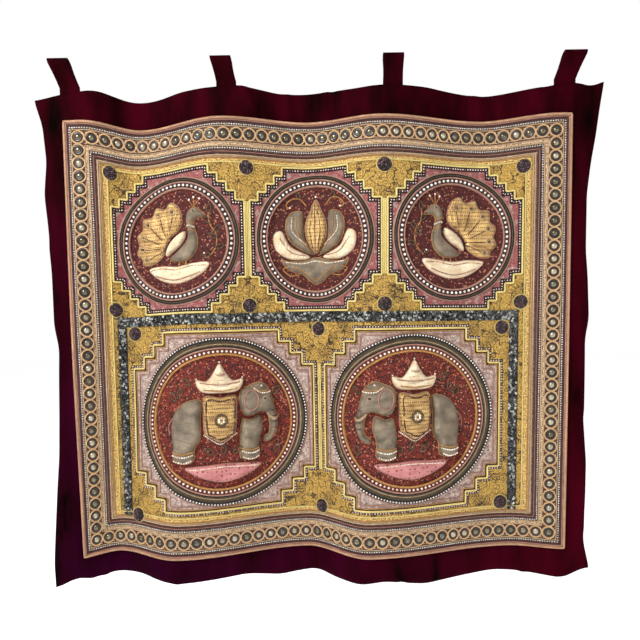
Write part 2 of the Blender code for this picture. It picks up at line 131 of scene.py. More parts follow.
@dataclass
class Drape:
    """The hung cloth: takes places on the flat cloth to where they hang."""

    hem_height: float = -54.0
    row_step: float = 20.0
    fold_samples: int = 120
    rows: np.ndarray = field(init=False)
    flat: np.ndarray = field(init=False)
    hung: np.ndarray = field(init=False)
    facing: np.ndarray = field(init=False)

    def __post_init__(self) -> None:
        """Work out the cloth's shape on rows across it, and the flat place of every sample."""
        table = np.array([list(vars(line).values()) for line in FOLD_LINES])
        place = np.linspace(0, len(table) - 1, (len(table) - 1) * self.fold_samples + 1)
        fold = np.minimum(place.astype(int), len(table) - 2)
        part = place - fold
        ease = part * part * (3 - 2 * part)
        self.rows = np.arange(-2 * self.row_step, GROUND_DROP + 3 * self.row_step, self.row_step)
        share = (self.rows / GROUND_DROP)[:, None, None]
        lines = table[None, :, 0::2] * (1 - share) + table[None, :, 1::2] * share
        start, end = lines[:, fold], lines[:, fold + 1]
        mixed = np.stack([part, ease, ease], axis=1)
        across, depth, sag = np.moveaxis(start + (end - start) * mixed, 2, 0)
        height = self.hem_height - self.rows[:, None] - sag
        self.hung = np.stack([across, depth, height], axis=2)
        steps = np.hypot(np.diff(across, axis=1), np.diff(depth, axis=1))
        self.flat = np.concatenate([np.zeros((len(self.rows), 1)), np.cumsum(steps, axis=1)], axis=1)
        for row in range(len(self.rows)):
            self.flat[row] -= np.interp(0, across[row], self.flat[row])
        facing = np.cross(np.gradient(self.hung, axis=1), -np.gradient(self.hung, axis=0))
        self.facing = facing / np.linalg.norm(facing, axis=2, keepdims=True)

    def hang(self, points: np.ndarray) -> np.ndarray:
        """Hang flat points.

        Args:
            points: Flat places in millimetres, one a row.

        Returns:
            The hung places in metres.
        """
        drop = -points[:, 1]
        spot = np.clip((drop - self.rows[0]) / self.row_step, 0, len(self.rows) - 1.001)
        row = spot.astype(int)
        down = (spot - row)[:, None]
        hung = np.zeros_like(points)
        for index in np.unique(row):
            chosen = row == index
            x, lift = points[chosen, 0], points[chosen, 2:3]
            ends = []
            for side in (index, index + 1):
                on = np.stack([np.interp(x, self.flat[side], self.hung[side, :, k]) for k in range(3)], 1)
                out = np.stack([np.interp(x, self.flat[side], self.facing[side, :, k]) for k in range(3)], 1)
                ends.append(on + out * lift)
            hung[chosen] = ends[0] * (1 - down[chosen]) + ends[1] * down[chosen]
        return hung * MM


DRAPE = Drape()


# Meshes as arrays

@dataclass
class Shape:
    """A mesh as arrays: points, each face's corners one after another, and each corner's UV place."""

    points: np.ndarray
    corners: np.ndarray
    counts: np.ndarray
    uvs: np.ndarray
    finish: np.ndarray

    @classmethod
    def read(cls, bm: bmesh.types.BMesh, finish: int = 0) -> "Shape":
        """Read a bmesh and free it, with each corner's flat place in metres as its UV place.

        Args:
            bm: The flat mesh, in millimetres.
            finish: Which of the piece's materials it takes.

        Returns:
            The shape.
        """
        mesh = bpy.data.meshes.new("read")
        bm.to_mesh(mesh)
        bm.free()
        return cls.take(mesh, finish)

    @classmethod
    def take(cls, mesh: bpy.types.Mesh, finish: int = 0) -> "Shape":
        """Read a mesh and remove it."""
        points = np.zeros(len(mesh.vertices) * 3)
        corners = np.zeros(len(mesh.loops), int)
        counts = np.zeros(len(mesh.polygons), int)
        mesh.vertices.foreach_get("co", points)
        mesh.loops.foreach_get("vertex_index", corners)
        mesh.polygons.foreach_get("loop_total", counts)
        points = points.reshape(-1, 3)
        bpy.data.meshes.remove(mesh)
        return cls(points, corners, counts, points[corners, :2] * MM, np.full(len(counts), finish))

    def copies(self, places: np.ndarray, sizes: np.ndarray | float = 1.0,
               angles: np.ndarray | float = 0.0, tilts: np.ndarray | None = None) -> "Shape":
        """Repeat the shape at many places; each copy's UV place is its own centre, so it takes one colour.

        Args:
            places: Where each copy goes.
            sizes: How large each copy is.
            angles: How far each copy turns in the cloth's plane, in radians.
            tilts: How far each copy's face leans along x and along y, as slopes.

        Returns:
            The copies as one shape.
        """
        count, each = len(places), len(self.points)
        size = np.broadcast_to(sizes, count)[:, None]
        angle = np.broadcast_to(angles, count)
        turn_x, turn_y = np.cos(angle)[:, None], np.sin(angle)[:, None]
        x, y, z = self.points.T
        moved = np.stack([x * turn_x - y * turn_y, x * turn_y + y * turn_x, z + 0 * turn_x], axis=2)
        moved *= size[:, :, None]
        if tilts is not None:
            moved[:, :, 2] += (moved[:, :, :2] * tilts[:, None, :]).sum(axis=2)
        moved += places[:, None, :]
        offsets = np.repeat(np.arange(count) * each, len(self.corners))
        centres = np.repeat(places[:, :2] * MM, len(self.corners), axis=0)
        return Shape(moved.reshape(-1, 3), np.tile(self.corners, count) + offsets,
                     np.tile(self.counts, count), centres, np.tile(self.finish, count))


def join(shapes: Sequence[Shape]) -> Shape:
    """Put several shapes together as one."""
    starts = np.cumsum([0] + [len(shape.points) for shape in shapes[:-1]])
    return Shape(
        np.concatenate([shape.points for shape in shapes]),
        np.concatenate([shape.corners + start for shape, start in zip(shapes, starts)]),
        np.concatenate([shape.counts for shape in shapes]),
        np.concatenate([shape.uvs for shape in shapes]),
        np.concatenate([shape.finish for shape in shapes]),
    )


def make_object(name: str, shape: Shape, materials: Sequence[bpy.types.Material],
                hang: bool = True) -> bpy.types.Object:
    """Make a shape an object, hung on the cloth's folds.

    Args:
        name: The piece's name.
        shape: The flat shape in millimetres, or the finished one in metres if it isn't to be hung.
        materials: The piece's materials, in the order that the shape's finishes count them.
        hang: Whether the shape is still flat.

    Returns:
        The object, at the origin with its place in its mesh.
    """
    points = DRAPE.hang(shape.points) if hang else shape.points
    mesh = bpy.data.meshes.new(name)
    mesh.vertices.add(len(points))
    mesh.vertices.foreach_set("co", points.ravel())
    mesh.loops.add(len(shape.corners))
    mesh.loops.foreach_set("vertex_index", shape.corners)
    mesh.polygons.add(len(shape.counts))
    mesh.polygons.foreach_set("loop_start", np.concatenate([[0], np.cumsum(shape.counts)[:-1]]))
    mesh.polygons.foreach_set("material_index", shape.finish)
    mesh.polygons.foreach_set("use_smooth", np.ones(len(shape.counts), bool))
    mesh.uv_layers.new(name="cloth").uv.foreach_set("vector", shape.uvs.ravel())
    mesh.update(calc_edges=True)
    mesh.validate()
    for material in materials:
        mesh.materials.append(material)
    made = bpy.data.objects.new(name, mesh)
    bpy.context.scene.collection.objects.link(made)
    return made


def add_piece(name: str, shape: Shape, materials: Sequence[bpy.types.Material],
              replaces: Sequence[str] = (), hang: bool = True) -> bpy.types.Object:
    """Make a piece, ride it on the body, give it its materials, and hide the CAD nodes that it stands for.

    Args:
        name: The piece's name.
        shape: Its shape.
        materials: Its materials.
        replaces: The CAD nodes that it stands for.
        hang: Whether the shape is still flat.

    Returns:
        The piece.
    """
    made = make_object(name, shape, materials, hang)
    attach(made, "root")
    if replaces:
        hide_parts(*replaces)
    LOG.info("%s: %d triangles", name, int((shape.counts - 2).sum()))
    return made


# Routes on the flat cloth

def rounded_route(points: Sequence[tuple[float, float]], step: float, closed: bool = True,
                  corner: float = 1.2) -> np.ndarray:
    """Walk along straight stretches at an even step, and cut each corner a little so that a cord turns it.

    Args:
        points: The corners, in order.
        step: The longest distance between two points of the route.
        closed: Whether the route comes back to its start.
        corner: How far from each corner the route leaves the straight.

    Returns:
        The route's points, with a height of 0.
    """
    places = np.array(points, float)
    ends = np.roll(places, -1, axis=0) if closed else places[1:]
    starts = places if closed else places[:-1]
    route = []
    for start, end in zip(starts, ends):
        length = np.linalg.norm(end - start)
        cut = min(corner, length * 0.3) / max(length, 1e-6)
        count = max(1, round(length / step))
        for share in np.linspace(cut, 1 - cut, count + 1):
            route.append(start + (end - start) * share)
    flat = np.array(route)
    return np.column_stack([flat, np.zeros(len(flat))])


def along(route: np.ndarray, pitch: float, closed: bool = True) -> np.ndarray:
    """Places at an even pitch along a route.

    Args:
        route: The route's points.
        pitch: The wanted distance from one place to the next.
        closed: Whether the route comes back to its start.

    Returns:
        The places, one a row.
    """
    path = np.vstack([route, route[:1]]) if closed else route
    run = np.concatenate([[0], np.cumsum(np.linalg.norm(np.diff(path, axis=0), axis=1))])
    count = max(1, round(run[-1] / pitch))
    spots = np.arange(count) * run[-1] / count if closed else np.linspace(0, run[-1], count + 1)
    return np.column_stack([np.interp(spots, run, path[:, k]) for k in range(3)])


def cord(route: np.ndarray, radius: float, closed: bool = True, fine: bool = False,
         finish: int = 0) -> Shape:
    """A round cord along a route, from a bevelled curve; its UV place is how far along it is, and round it.

    Args:
        route: The route's points.
        radius: The cord's radius.
        closed: Whether the cord comes back to its start.
        fine: Whether it has six sides and not four.
        finish: Which of the piece's materials it takes.

    Returns:
        The cord.
    """
    curve = bpy.data.curves.new("cord", "CURVE")
    curve.dimensions = "3D"
    curve.bevel_depth = radius
    curve.bevel_resolution = 1 if fine else 0
    curve.use_fill_caps = not closed
    spline = curve.splines.new("POLY")
    spline.points.add(len(route) - 1)
    spline.points.foreach_set("co", np.column_stack([route, np.ones(len(route))]).ravel())
    spline.use_cyclic_u = closed
    holder = bpy.data.objects.new("cord", curve)
    mesh = bpy.data.meshes.new_from_object(holder)
    uvs = np.zeros(len(mesh.loops) * 2)
    mesh.uv_layers[0].uv.foreach_get("vector", uvs)
    shape = Shape.take(mesh, finish)
    bpy.data.objects.remove(holder)
    bpy.data.curves.remove(curve)
    path = np.vstack([route, route[:1]]) if closed else route
    length = np.linalg.norm(np.diff(path, axis=0), axis=1).sum()
    shape.uvs = uvs.reshape(-1, 2) * (length * MM, 1)
    return shape


def lifted(route: np.ndarray, height: float) -> np.ndarray:
    """A route raised off the cloth."""
    return route + (0, 0, height)


# Small shapes that are repeated

def bead_shape(radius: float, squash: float = 0.85, finish: int = 0) -> Shape:
    """A small bead, a little flattened where it is sewn down."""
    bm = bmesh.new()
    bmesh.ops.create_uvsphere(bm, u_segments=6, v_segments=5, radius=radius)
    bmesh.ops.scale(bm, vec=(1, 1, squash), verts=bm.verts)
    return Shape.read(bm, finish)


def turned_shape(section: Sequence[tuple[float, float]], steps: int, finish: int = 0) -> Shape:
    """A small shape turned about the line out of the cloth.

    Args:
        section: Radius and height of each point, from the outside in to the middle or to the inner edge.
        steps: How many steps one turn has.
        finish: Which of the piece's materials it takes.

    Returns:
        The turned shape.
    """
    bm = bmesh.new()
    verts = [bm.verts.new((radius, 0, height)) for radius, height in section]
    edges = [bm.edges.new(pair) for pair in zip(verts, verts[1:])]
    bmesh.ops.spin(
        bm, geom=verts + edges, cent=(0, 0, 0), axis=(0, 0, 1), angle=math.tau, steps=steps, use_merge=True)
    bmesh.ops.remove_doubles(bm, verts=bm.verts, dist=1e-4)
    bmesh.ops.recalc_face_normals(bm, faces=bm.faces)
    return Shape.read(bm, finish)


def sequin_shape(radius: float, cup: float, sides: int = 7, finish: int = 0) -> Shape:
    """A cupped sequin: a thin disc that rises from its middle to its rim."""
    return turned_shape(((0, 0), (radius * 0.55, cup * 0.35), (radius, cup), (radius * 0.5, cup * 0.1 - 0.15),
                         (0, -0.2)), sides, finish)


# Materials

class Value:
    """A number worked out in a material's nodes, which Python's operators combine with others."""

    def __init__(self, kit: "NodeKit", socket: bpy.types.NodeSocket) -> None:
        """Wrap a socket."""
        self.kit = kit
        self.socket = socket

    def maths(self, operation: str, *others: Any, clamp: bool = False) -> "Value":
        """Put this number through a Math node.

        Args:
            operation: The node's operation.
            *others: The node's other numbers.
            clamp: Whether the result stays between 0 and 1.

        Returns:
            The result.
        """
        return self.kit.maths(operation, self, *others, clamp=clamp)

    def __add__(self, other: Any) -> "Value":
        """This number plus another."""
        return self.maths("ADD", other)

    __radd__ = __add__

    def __mul__(self, other: Any) -> "Value":
        """This number times another."""
        return self.maths("MULTIPLY", other)

    __rmul__ = __mul__

    def __sub__(self, other: Any) -> "Value":
        """This number less another."""
        return self.maths("SUBTRACT", other)

    def __rsub__(self, other: Any) -> "Value":
        """Another number less this one."""
        return self.kit.maths("SUBTRACT", other, self)

    def __truediv__(self, other: Any) -> "Value":
        """This number over another."""
        return self.maths("DIVIDE", other)

    def __pow__(self, other: Any) -> "Value":
        """This number to a power."""
        return self.maths("POWER", other)

    def __gt__(self, other: Any) -> "Value":
        """1 where this number is greater, and 0 elsewhere."""
        return self.maths("GREATER_THAN", other)

    def __lt__(self, other: Any) -> "Value":
        """1 where this number is less, and 0 elsewhere."""
        return self.maths("LESS_THAN", other)

    def __abs__(self) -> "Value":
        """This number without its sign."""
        return self.maths("ABSOLUTE")

    def sine(self) -> "Value":
        """The sine of this number."""
        return self.maths("SINE")

    def floor(self) -> "Value":
        """The whole number below this one."""
        return self.maths("FLOOR")

    def least(self, other: Any) -> "Value":
        """The lesser of this number and another."""
        return self.maths("MINIMUM", other)

    def most(self, other: Any) -> "Value":
        """The greater of this number and another."""
        return self.maths("MAXIMUM", other)

    def clamped(self) -> "Value":
        """This number held between 0 and 1."""
        return self.maths("ADD", 0.0, clamp=True)

    def ramp(self, low: float, high: float) -> "Value":
        """0 below one value, 1 above the other, and even between them."""
        return ((self - low) * (1 / (high - low))).clamped()


class NodeKit:
    """Builds one material's nodes round a Principled shader."""

    def __init__(self, name: str) -> None:
        """Start a material with a Principled shader and its output."""
        self.material = bpy.data.materials.new(name)
        self.material.use_nodes = True
        self.tree = self.material.node_tree
        self.tree.nodes.clear()
        self.shader = self.node("ShaderNodeBsdfPrincipled")
        self.node("ShaderNodeOutputMaterial", values={"Surface": self.shader.outputs[0]})

    def node(self, kind: str, settings: dict[str, Any] | None = None,
             values: dict[str | int, Any] | None = None) -> bpy.types.Node:
        """Add a node.

        Args:
            kind: The node's type.
            settings: Its settings, which are set first; stops are a ramp's places and colours.
            values: The value or the link of each named or numbered socket.

        Returns:
            The node.
        """
        made = self.tree.nodes.new(kind)
        for key, setting in (settings or {}).items():
            if key == "stops":
                self.set_stops(made.color_ramp, setting)
            elif key == "interpolation":
                made.color_ramp.interpolation = setting
            else:
                setattr(made, key, setting)
        for key, value in (values or {}).items():
            self.feed(made.inputs[key], value)
        return made

    def set_stops(self, ramp: bpy.types.ColorRamp, stops: Sequence[tuple[float, Colour]]) -> None:
        """Set a colour ramp's stops."""
        while len(ramp.elements) < len(stops):
            ramp.elements.new(1.0)
        for element, (place, colour) in zip(ramp.elements, stops):
            element.position = place
            element.color = (*colour, 1.0)

    def feed(self, socket: bpy.types.NodeSocket, value: Any) -> None:
        """Link a socket to a Value or a socket, or set its value."""
        source = value.socket if isinstance(value, Value) else value
        if isinstance(source, bpy.types.NodeSocket):
            self.tree.links.new(source, socket)
        elif isinstance(source, tuple) and len(source) == 3 and socket.type == "RGBA":
            socket.default_value = (*source, 1.0)
        else:
            socket.default_value = source

    def maths(self, operation: str, *numbers: Any, clamp: bool = False) -> Value:
        """Add a Math node."""
        settings = {"operation": operation, "use_clamp": clamp}
        made = self.node("ShaderNodeMath", settings, dict(enumerate(numbers)))
        return Value(self, made.outputs[0])

    def flat_place(self) -> tuple[Value, Value, bpy.types.NodeSocket]:
        """The piece's UV place: its two numbers in millimetres, and the vector in metres."""
        place = self.node("ShaderNodeUVMap", {"uv_map": "cloth"}).outputs[0]
        parts = self.node("ShaderNodeSeparateXYZ", values={0: place})
        return Value(self, parts.outputs[0]) * 1000, Value(self, parts.outputs[1]) * 1000, place

    def object_place(self) -> bpy.types.NodeSocket:
        """The place in the object, in metres."""
        return self.node("ShaderNodeTexCoord").outputs["Object"]

    def noise(self, place: bpy.types.NodeSocket, scale: float, detail: float = 2.0,
              roughness: float = 0.5) -> Value:
        """Soft noise between 0 and 1, with so many waves a metre."""
        made = self.node("ShaderNodeTexNoise", values={
            "Vector": place, "Scale": scale, "Detail": detail, "Roughness": roughness})
        return Value(self, made.outputs["Fac"])

    def cells(self, place: bpy.types.NodeSocket, scale: float, feature: str = "F1",
              jitter: float = 1.0) -> tuple[Value, Value, bpy.types.NodeSocket]:
        """Cells: the distance to each one's middle or edge, a random number for it, and its random colour."""
        made = self.node("ShaderNodeTexVoronoi", {"feature": feature}, {
            "Vector": place, "Scale": scale, "Randomness": jitter})
        if feature == "DISTANCE_TO_EDGE":
            return Value(self, made.outputs["Distance"]), Value(self, made.outputs["Distance"]), None
        parts = self.node("ShaderNodeSeparateColor", values={0: made.outputs["Color"]})
        return Value(self, made.outputs["Distance"]), Value(self, parts.outputs[0]), made.outputs["Color"]

    def chance(self, place: bpy.types.NodeSocket) -> Value:
        """A random number for each place."""
        made = self.node("ShaderNodeTexWhiteNoise", {"noise_dimensions": "3D"}, {"Vector": place})
        return Value(self, made.outputs["Value"])

    def mix(self, share: Any, low: Any, high: Any) -> bpy.types.NodeSocket:
        """Mix two colours."""
        made = self.node("ShaderNodeMix", {"data_type": "RGBA"}, {0: share, 6: low, 7: high})
        return made.outputs[2]

    def banded(self, number: Value, span: float, stops: Sequence[tuple[float, Colour]],
               even: bool = False) -> bpy.types.NodeSocket:
        """Colours by bands of a number.

        Args:
            number: The number, such as a distance.
            span: The number's greatest value.
            stops: Where each band starts, and its colour.
            even: Whether one band runs evenly into the next.

        Returns:
            The colour.
        """
        made = self.node(
            "ShaderNodeValToRGB",
            {"interpolation": "LINEAR" if even else "CONSTANT",
             "stops": [(place / span, colour) for place, colour in stops]},
            {"Fac": number * (1 / span)})
        return made.outputs["Color"]

    def bump(self, height: Value, depth_mm: float, strength: float = 1.0) -> None:
        """Bump the surface by a height from 0 to 1, which stands for a depth in millimetres."""
        made = self.node("ShaderNodeBump", values={
            "Strength": strength, "Distance": depth_mm * MM, "Height": height})
        self.feed(self.shader.inputs["Normal"], made.outputs[0])

    def surface(self, **values: Any) -> None:
        """Set the shader's sockets, named with underscores for spaces."""
        for key, value in values.items():
            self.feed(self.shader.inputs[key.replace("_", " ")], value)


@dataclass(frozen=True)
class VelvetFinish:
    """Crushed velvet: near black, with painted sheen in wine streaks and toward the foot, and painted shade in black
    streaks.
    """

    black: Colour = paint(5, 0, 0)
    deep: Colour = paint(25, 0, 2)
    wine: Colour = paint(58, 0, 14)
    purple: Colour = paint(40, 0, 27)
    sheen: Colour = paint(150, 10, 60)

    def make(self) -> bpy.types.Material:
        """Make the material."""
        kit = NodeKit("maroon_velvet")
        place = kit.object_place()
        upright = kit.node("ShaderNodeMapping", values={"Vector": place, "Scale": (1.0, 1.0, 0.3)}).outputs[0]
        fold_streaks = kit.noise(upright, 17, 3, 0.55)
        pile = kit.noise(place, 900, 2)
        parts = kit.node("ShaderNodeSeparateXYZ", values={0: place}).outputs
        lower = (Value(kit, parts[2]) * -1).ramp(0.1, 0.95)
        right = Value(kit, parts[0]).ramp(-0.35, 0.45)
        # Painted sheen: purple toward the lower left and wine elsewhere, lighter in upright streaks and toward the
        # foot.
        sheen_hue = kit.mix(right.most(1 - lower), self.purple, self.wine)
        painted_sheen = (fold_streaks.ramp(0.42, 0.72) * 0.75 + lower * 0.35).clamped()
        colour = kit.mix(painted_sheen, self.deep, sheen_hue)
        # Near-black streaks: painted shade in the folds.
        colour = kit.mix(fold_streaks.ramp(0.4, 0.3), colour, self.black)
        kit.bump(pile * 0.2 + fold_streaks * 0.5 + kit.noise(upright, 70, 3) * 0.3, 2.4, 0.7)
        kit.surface(
            Base_Color=colour, Roughness=0.8, Sheen_Weight=0.015, Sheen_Roughness=0.35,
            Sheen_Tint=self.sheen, Specular_IOR_Level=0.02)
        return kit.material


@dataclass(frozen=True)
class CordFinish:
    """A twisted cord: two plies that wind round each other, darker in the twist's groove as painted shade."""

    name: str
    light: Colour
    dark: Colour
    ply: float = 2.6
    metallic: float = 0.0
    roughness: float = 0.55

    def make(self) -> bpy.types.Material:
        """Make the material."""
        kit = NodeKit(self.name)
        run, turn, place = kit.flat_place()
        wind = (run * (math.tau / self.ply) + turn * (1000 * MM * math.tau)).sine() * 0.5 + 0.5
        worn = kit.noise(kit.object_place(), 120, 3)
        # The dark colour follows the groove of the twist's bump, which is painted shade; the noise adds random tone.
        share = (wind * 0.75 + worn * 0.5 - 0.1).clamped()
        kit.bump(wind, 0.5, 0.8)
        kit.surface(
            Base_Color=kit.mix(share, self.dark, self.light), Roughness=self.roughness,
            Metallic=self.metallic)
        return kit.material


@dataclass(frozen=True)
class BeadFinish:
    """Small glossy beads or sequins, each a little different; where the light copies stand for glints, they are
    painted highlights.
    """

    name: str
    light: Colour
    dark: Colour
    roughness: float = 0.25
    metallic: float = 0.0
    coat: float = 0.6
    bright_share: float = 0.5

    def make(self) -> bpy.types.Material:
        """Make the material."""
        kit = NodeKit(self.name)
        _, _, place = kit.flat_place()
        chance = kit.chance(place)
        share = chance.ramp(1 - self.bright_share - 0.05, 1 - self.bright_share + 0.05)
        kit.surface(
            Base_Color=kit.mix(share, self.dark, self.light), Roughness=chance * 0.15 + self.roughness,
            Metallic=self.metallic, Coat_Weight=self.coat, Coat_Roughness=0.08)
        return kit.material


# Layout of the panel, in millimetres on the flat cloth

class Side(Enum):
    """A side of the panel: how wide its outer and its inner bands are, against those at the top."""

    LEFT = (0.83, 1.4)
    RIGHT = (0.91, 1.4)
    TOP = (1.0, 1.001)
    FOOT = (0.93, 1.05)

    @property
    def outer(self) -> float:
        """The share of the outer bands."""
        return self.value[0]

    @property
    def inner(self) -> float:
        """The share of the inner bands."""
        return self.value[1]

    def depth(self, inset: float) -> float:
        """How far from this side's edge a band lies that is so far in at the top."""
        return self.outer * min(inset, INNER_BANDS) + self.inner * max(0.0, inset - INNER_BANDS)

    def inset(self, depth: "Value") -> "Value":
        """The place among the bands at so far from this side's edge."""
        shift = INNER_BANDS * (1 - self.outer / self.inner)
        return (depth * (1 / self.outer)).least(depth * (1 / self.inner) + shift)


INNER_BANDS = 72.0


@dataclass(frozen=True)
class Frame:
    """A stepped frame round a medallion."""

    name: str
    left: float
    right: float
    top: float
    foot: float
    step: float
    steps: int
    upper: bool

    def outline(self, inset: float = 0.0) -> list[tuple[float, float]]:
        """The frame's outline, moved in by so much.

        Args:
            inset: How far in from the frame's outer edge.

        Returns:
            The corners, in order round the frame.
        """
        corners = []
        for way_x, way_y, back in ((1, -1, False), (-1, -1, True), (-1, 1, False), (1, 1, True)):
            x0 = (self.left if way_x > 0 else self.right) + way_x * inset
            y0 = -(self.top if way_y < 0 else self.foot) + way_y * inset
            stairs = []
            for count in range(self.steps):
                x = x0 + way_x * self.step * count
                y = y0 + way_y * self.step * (self.steps - count)
                stairs += [(x, y), (x + way_x * self.step, y)]
            stairs.append((x0 + way_x * self.step * self.steps, y0))
            corners += stairs[::-1] if back else stairs
        return corners


@dataclass(frozen=True)
class Ring:
    """The band of cord and beads round a medallion."""

    name: str
    x: float
    drop: float
    radius_x: float
    radius_y: float
    width: float
    upper: bool

    def circle(self, inset: float, step: float, height: float) -> np.ndarray:
        """A closed route round the ring.

        Args:
            inset: How far in from the ring's outer edge.
            step: The distance between two points of the route.
            height: How high it lies.

        Returns:
            The route's points.
        """
        reach_x, reach_y = self.radius_x - inset, self.radius_y - inset
        count = max(12, round(math.tau * reach_x / step))
        angle = np.arange(count) * math.tau / count
        return np.column_stack([
            self.x + reach_x * np.cos(angle), -self.drop + reach_y * np.sin(angle), np.full(count, height)])


FRAMES = (
    Frame("frame_top_left", -438, -152, 145, 434, 17, 4, True),
    Frame("frame_top_middle", -144.5, 136.5, 145, 434, 17, 4, True),
    Frame("frame_top_right", 144.5, 432, 145, 434, 17, 4, True),
    Frame("frame_bottom_left", -406, -9, 463, 834, 24, 3, False),
    Frame("frame_bottom_right", 3, 394, 463, 834, 24, 3, False),
)
RINGS = (
    Ring("ring_top_left", -294, 290, 130, 127, 25, True),
    Ring("ring_top_middle", -5, 289, 127, 129, 25, True),
    Ring("ring_top_right", 286, 288, 130, 128, 25, True),
    Ring("ring_bottom_left", -207, 650, 177, 170, 37, False),
    Ring("ring_bottom_right", 197, 648, 177, 170, 37, False),
)
RING_HEIGHT = 3.0
BOSSES = (
    (-435, 150), (-148, 152), (140, 152), (430, 152), (-433, 421), (-147, 421), (141, 421), (428, 420),
    (-395, 470), (-3, 470), (391, 470), (-397, 842), (-1, 834), (391, 830),
)
BOSS_CORD = 15.0
BAND_LEFT, BAND_RIGHT = -431.0, 424.0
BAND_TOP, BAND_FOOT = 436.0, 455.0
LEG_WIDTH, LEG_FOOT = 18.0, 845.0
DIVIDERS = ((-148.2, 216.0, 364.0), (140.5, 216.0, 364.0), (-3.0, 540.0, 760.0))


def border_loop(inset: float, step: float = 4.0) -> np.ndarray:
    """A closed route round the panel, in from its edge by so much at the top and in measure at the sides."""
    left, right = -PANEL_HALF + Side.LEFT.depth(inset), PANEL_HALF - Side.RIGHT.depth(inset)
    top, foot = -PANEL_TOP - Side.TOP.depth(inset), -PANEL_FOOT + Side.FOOT.depth(inset)
    return rounded_route(((left, top), (right, top), (right, foot), (left, foot)), step)


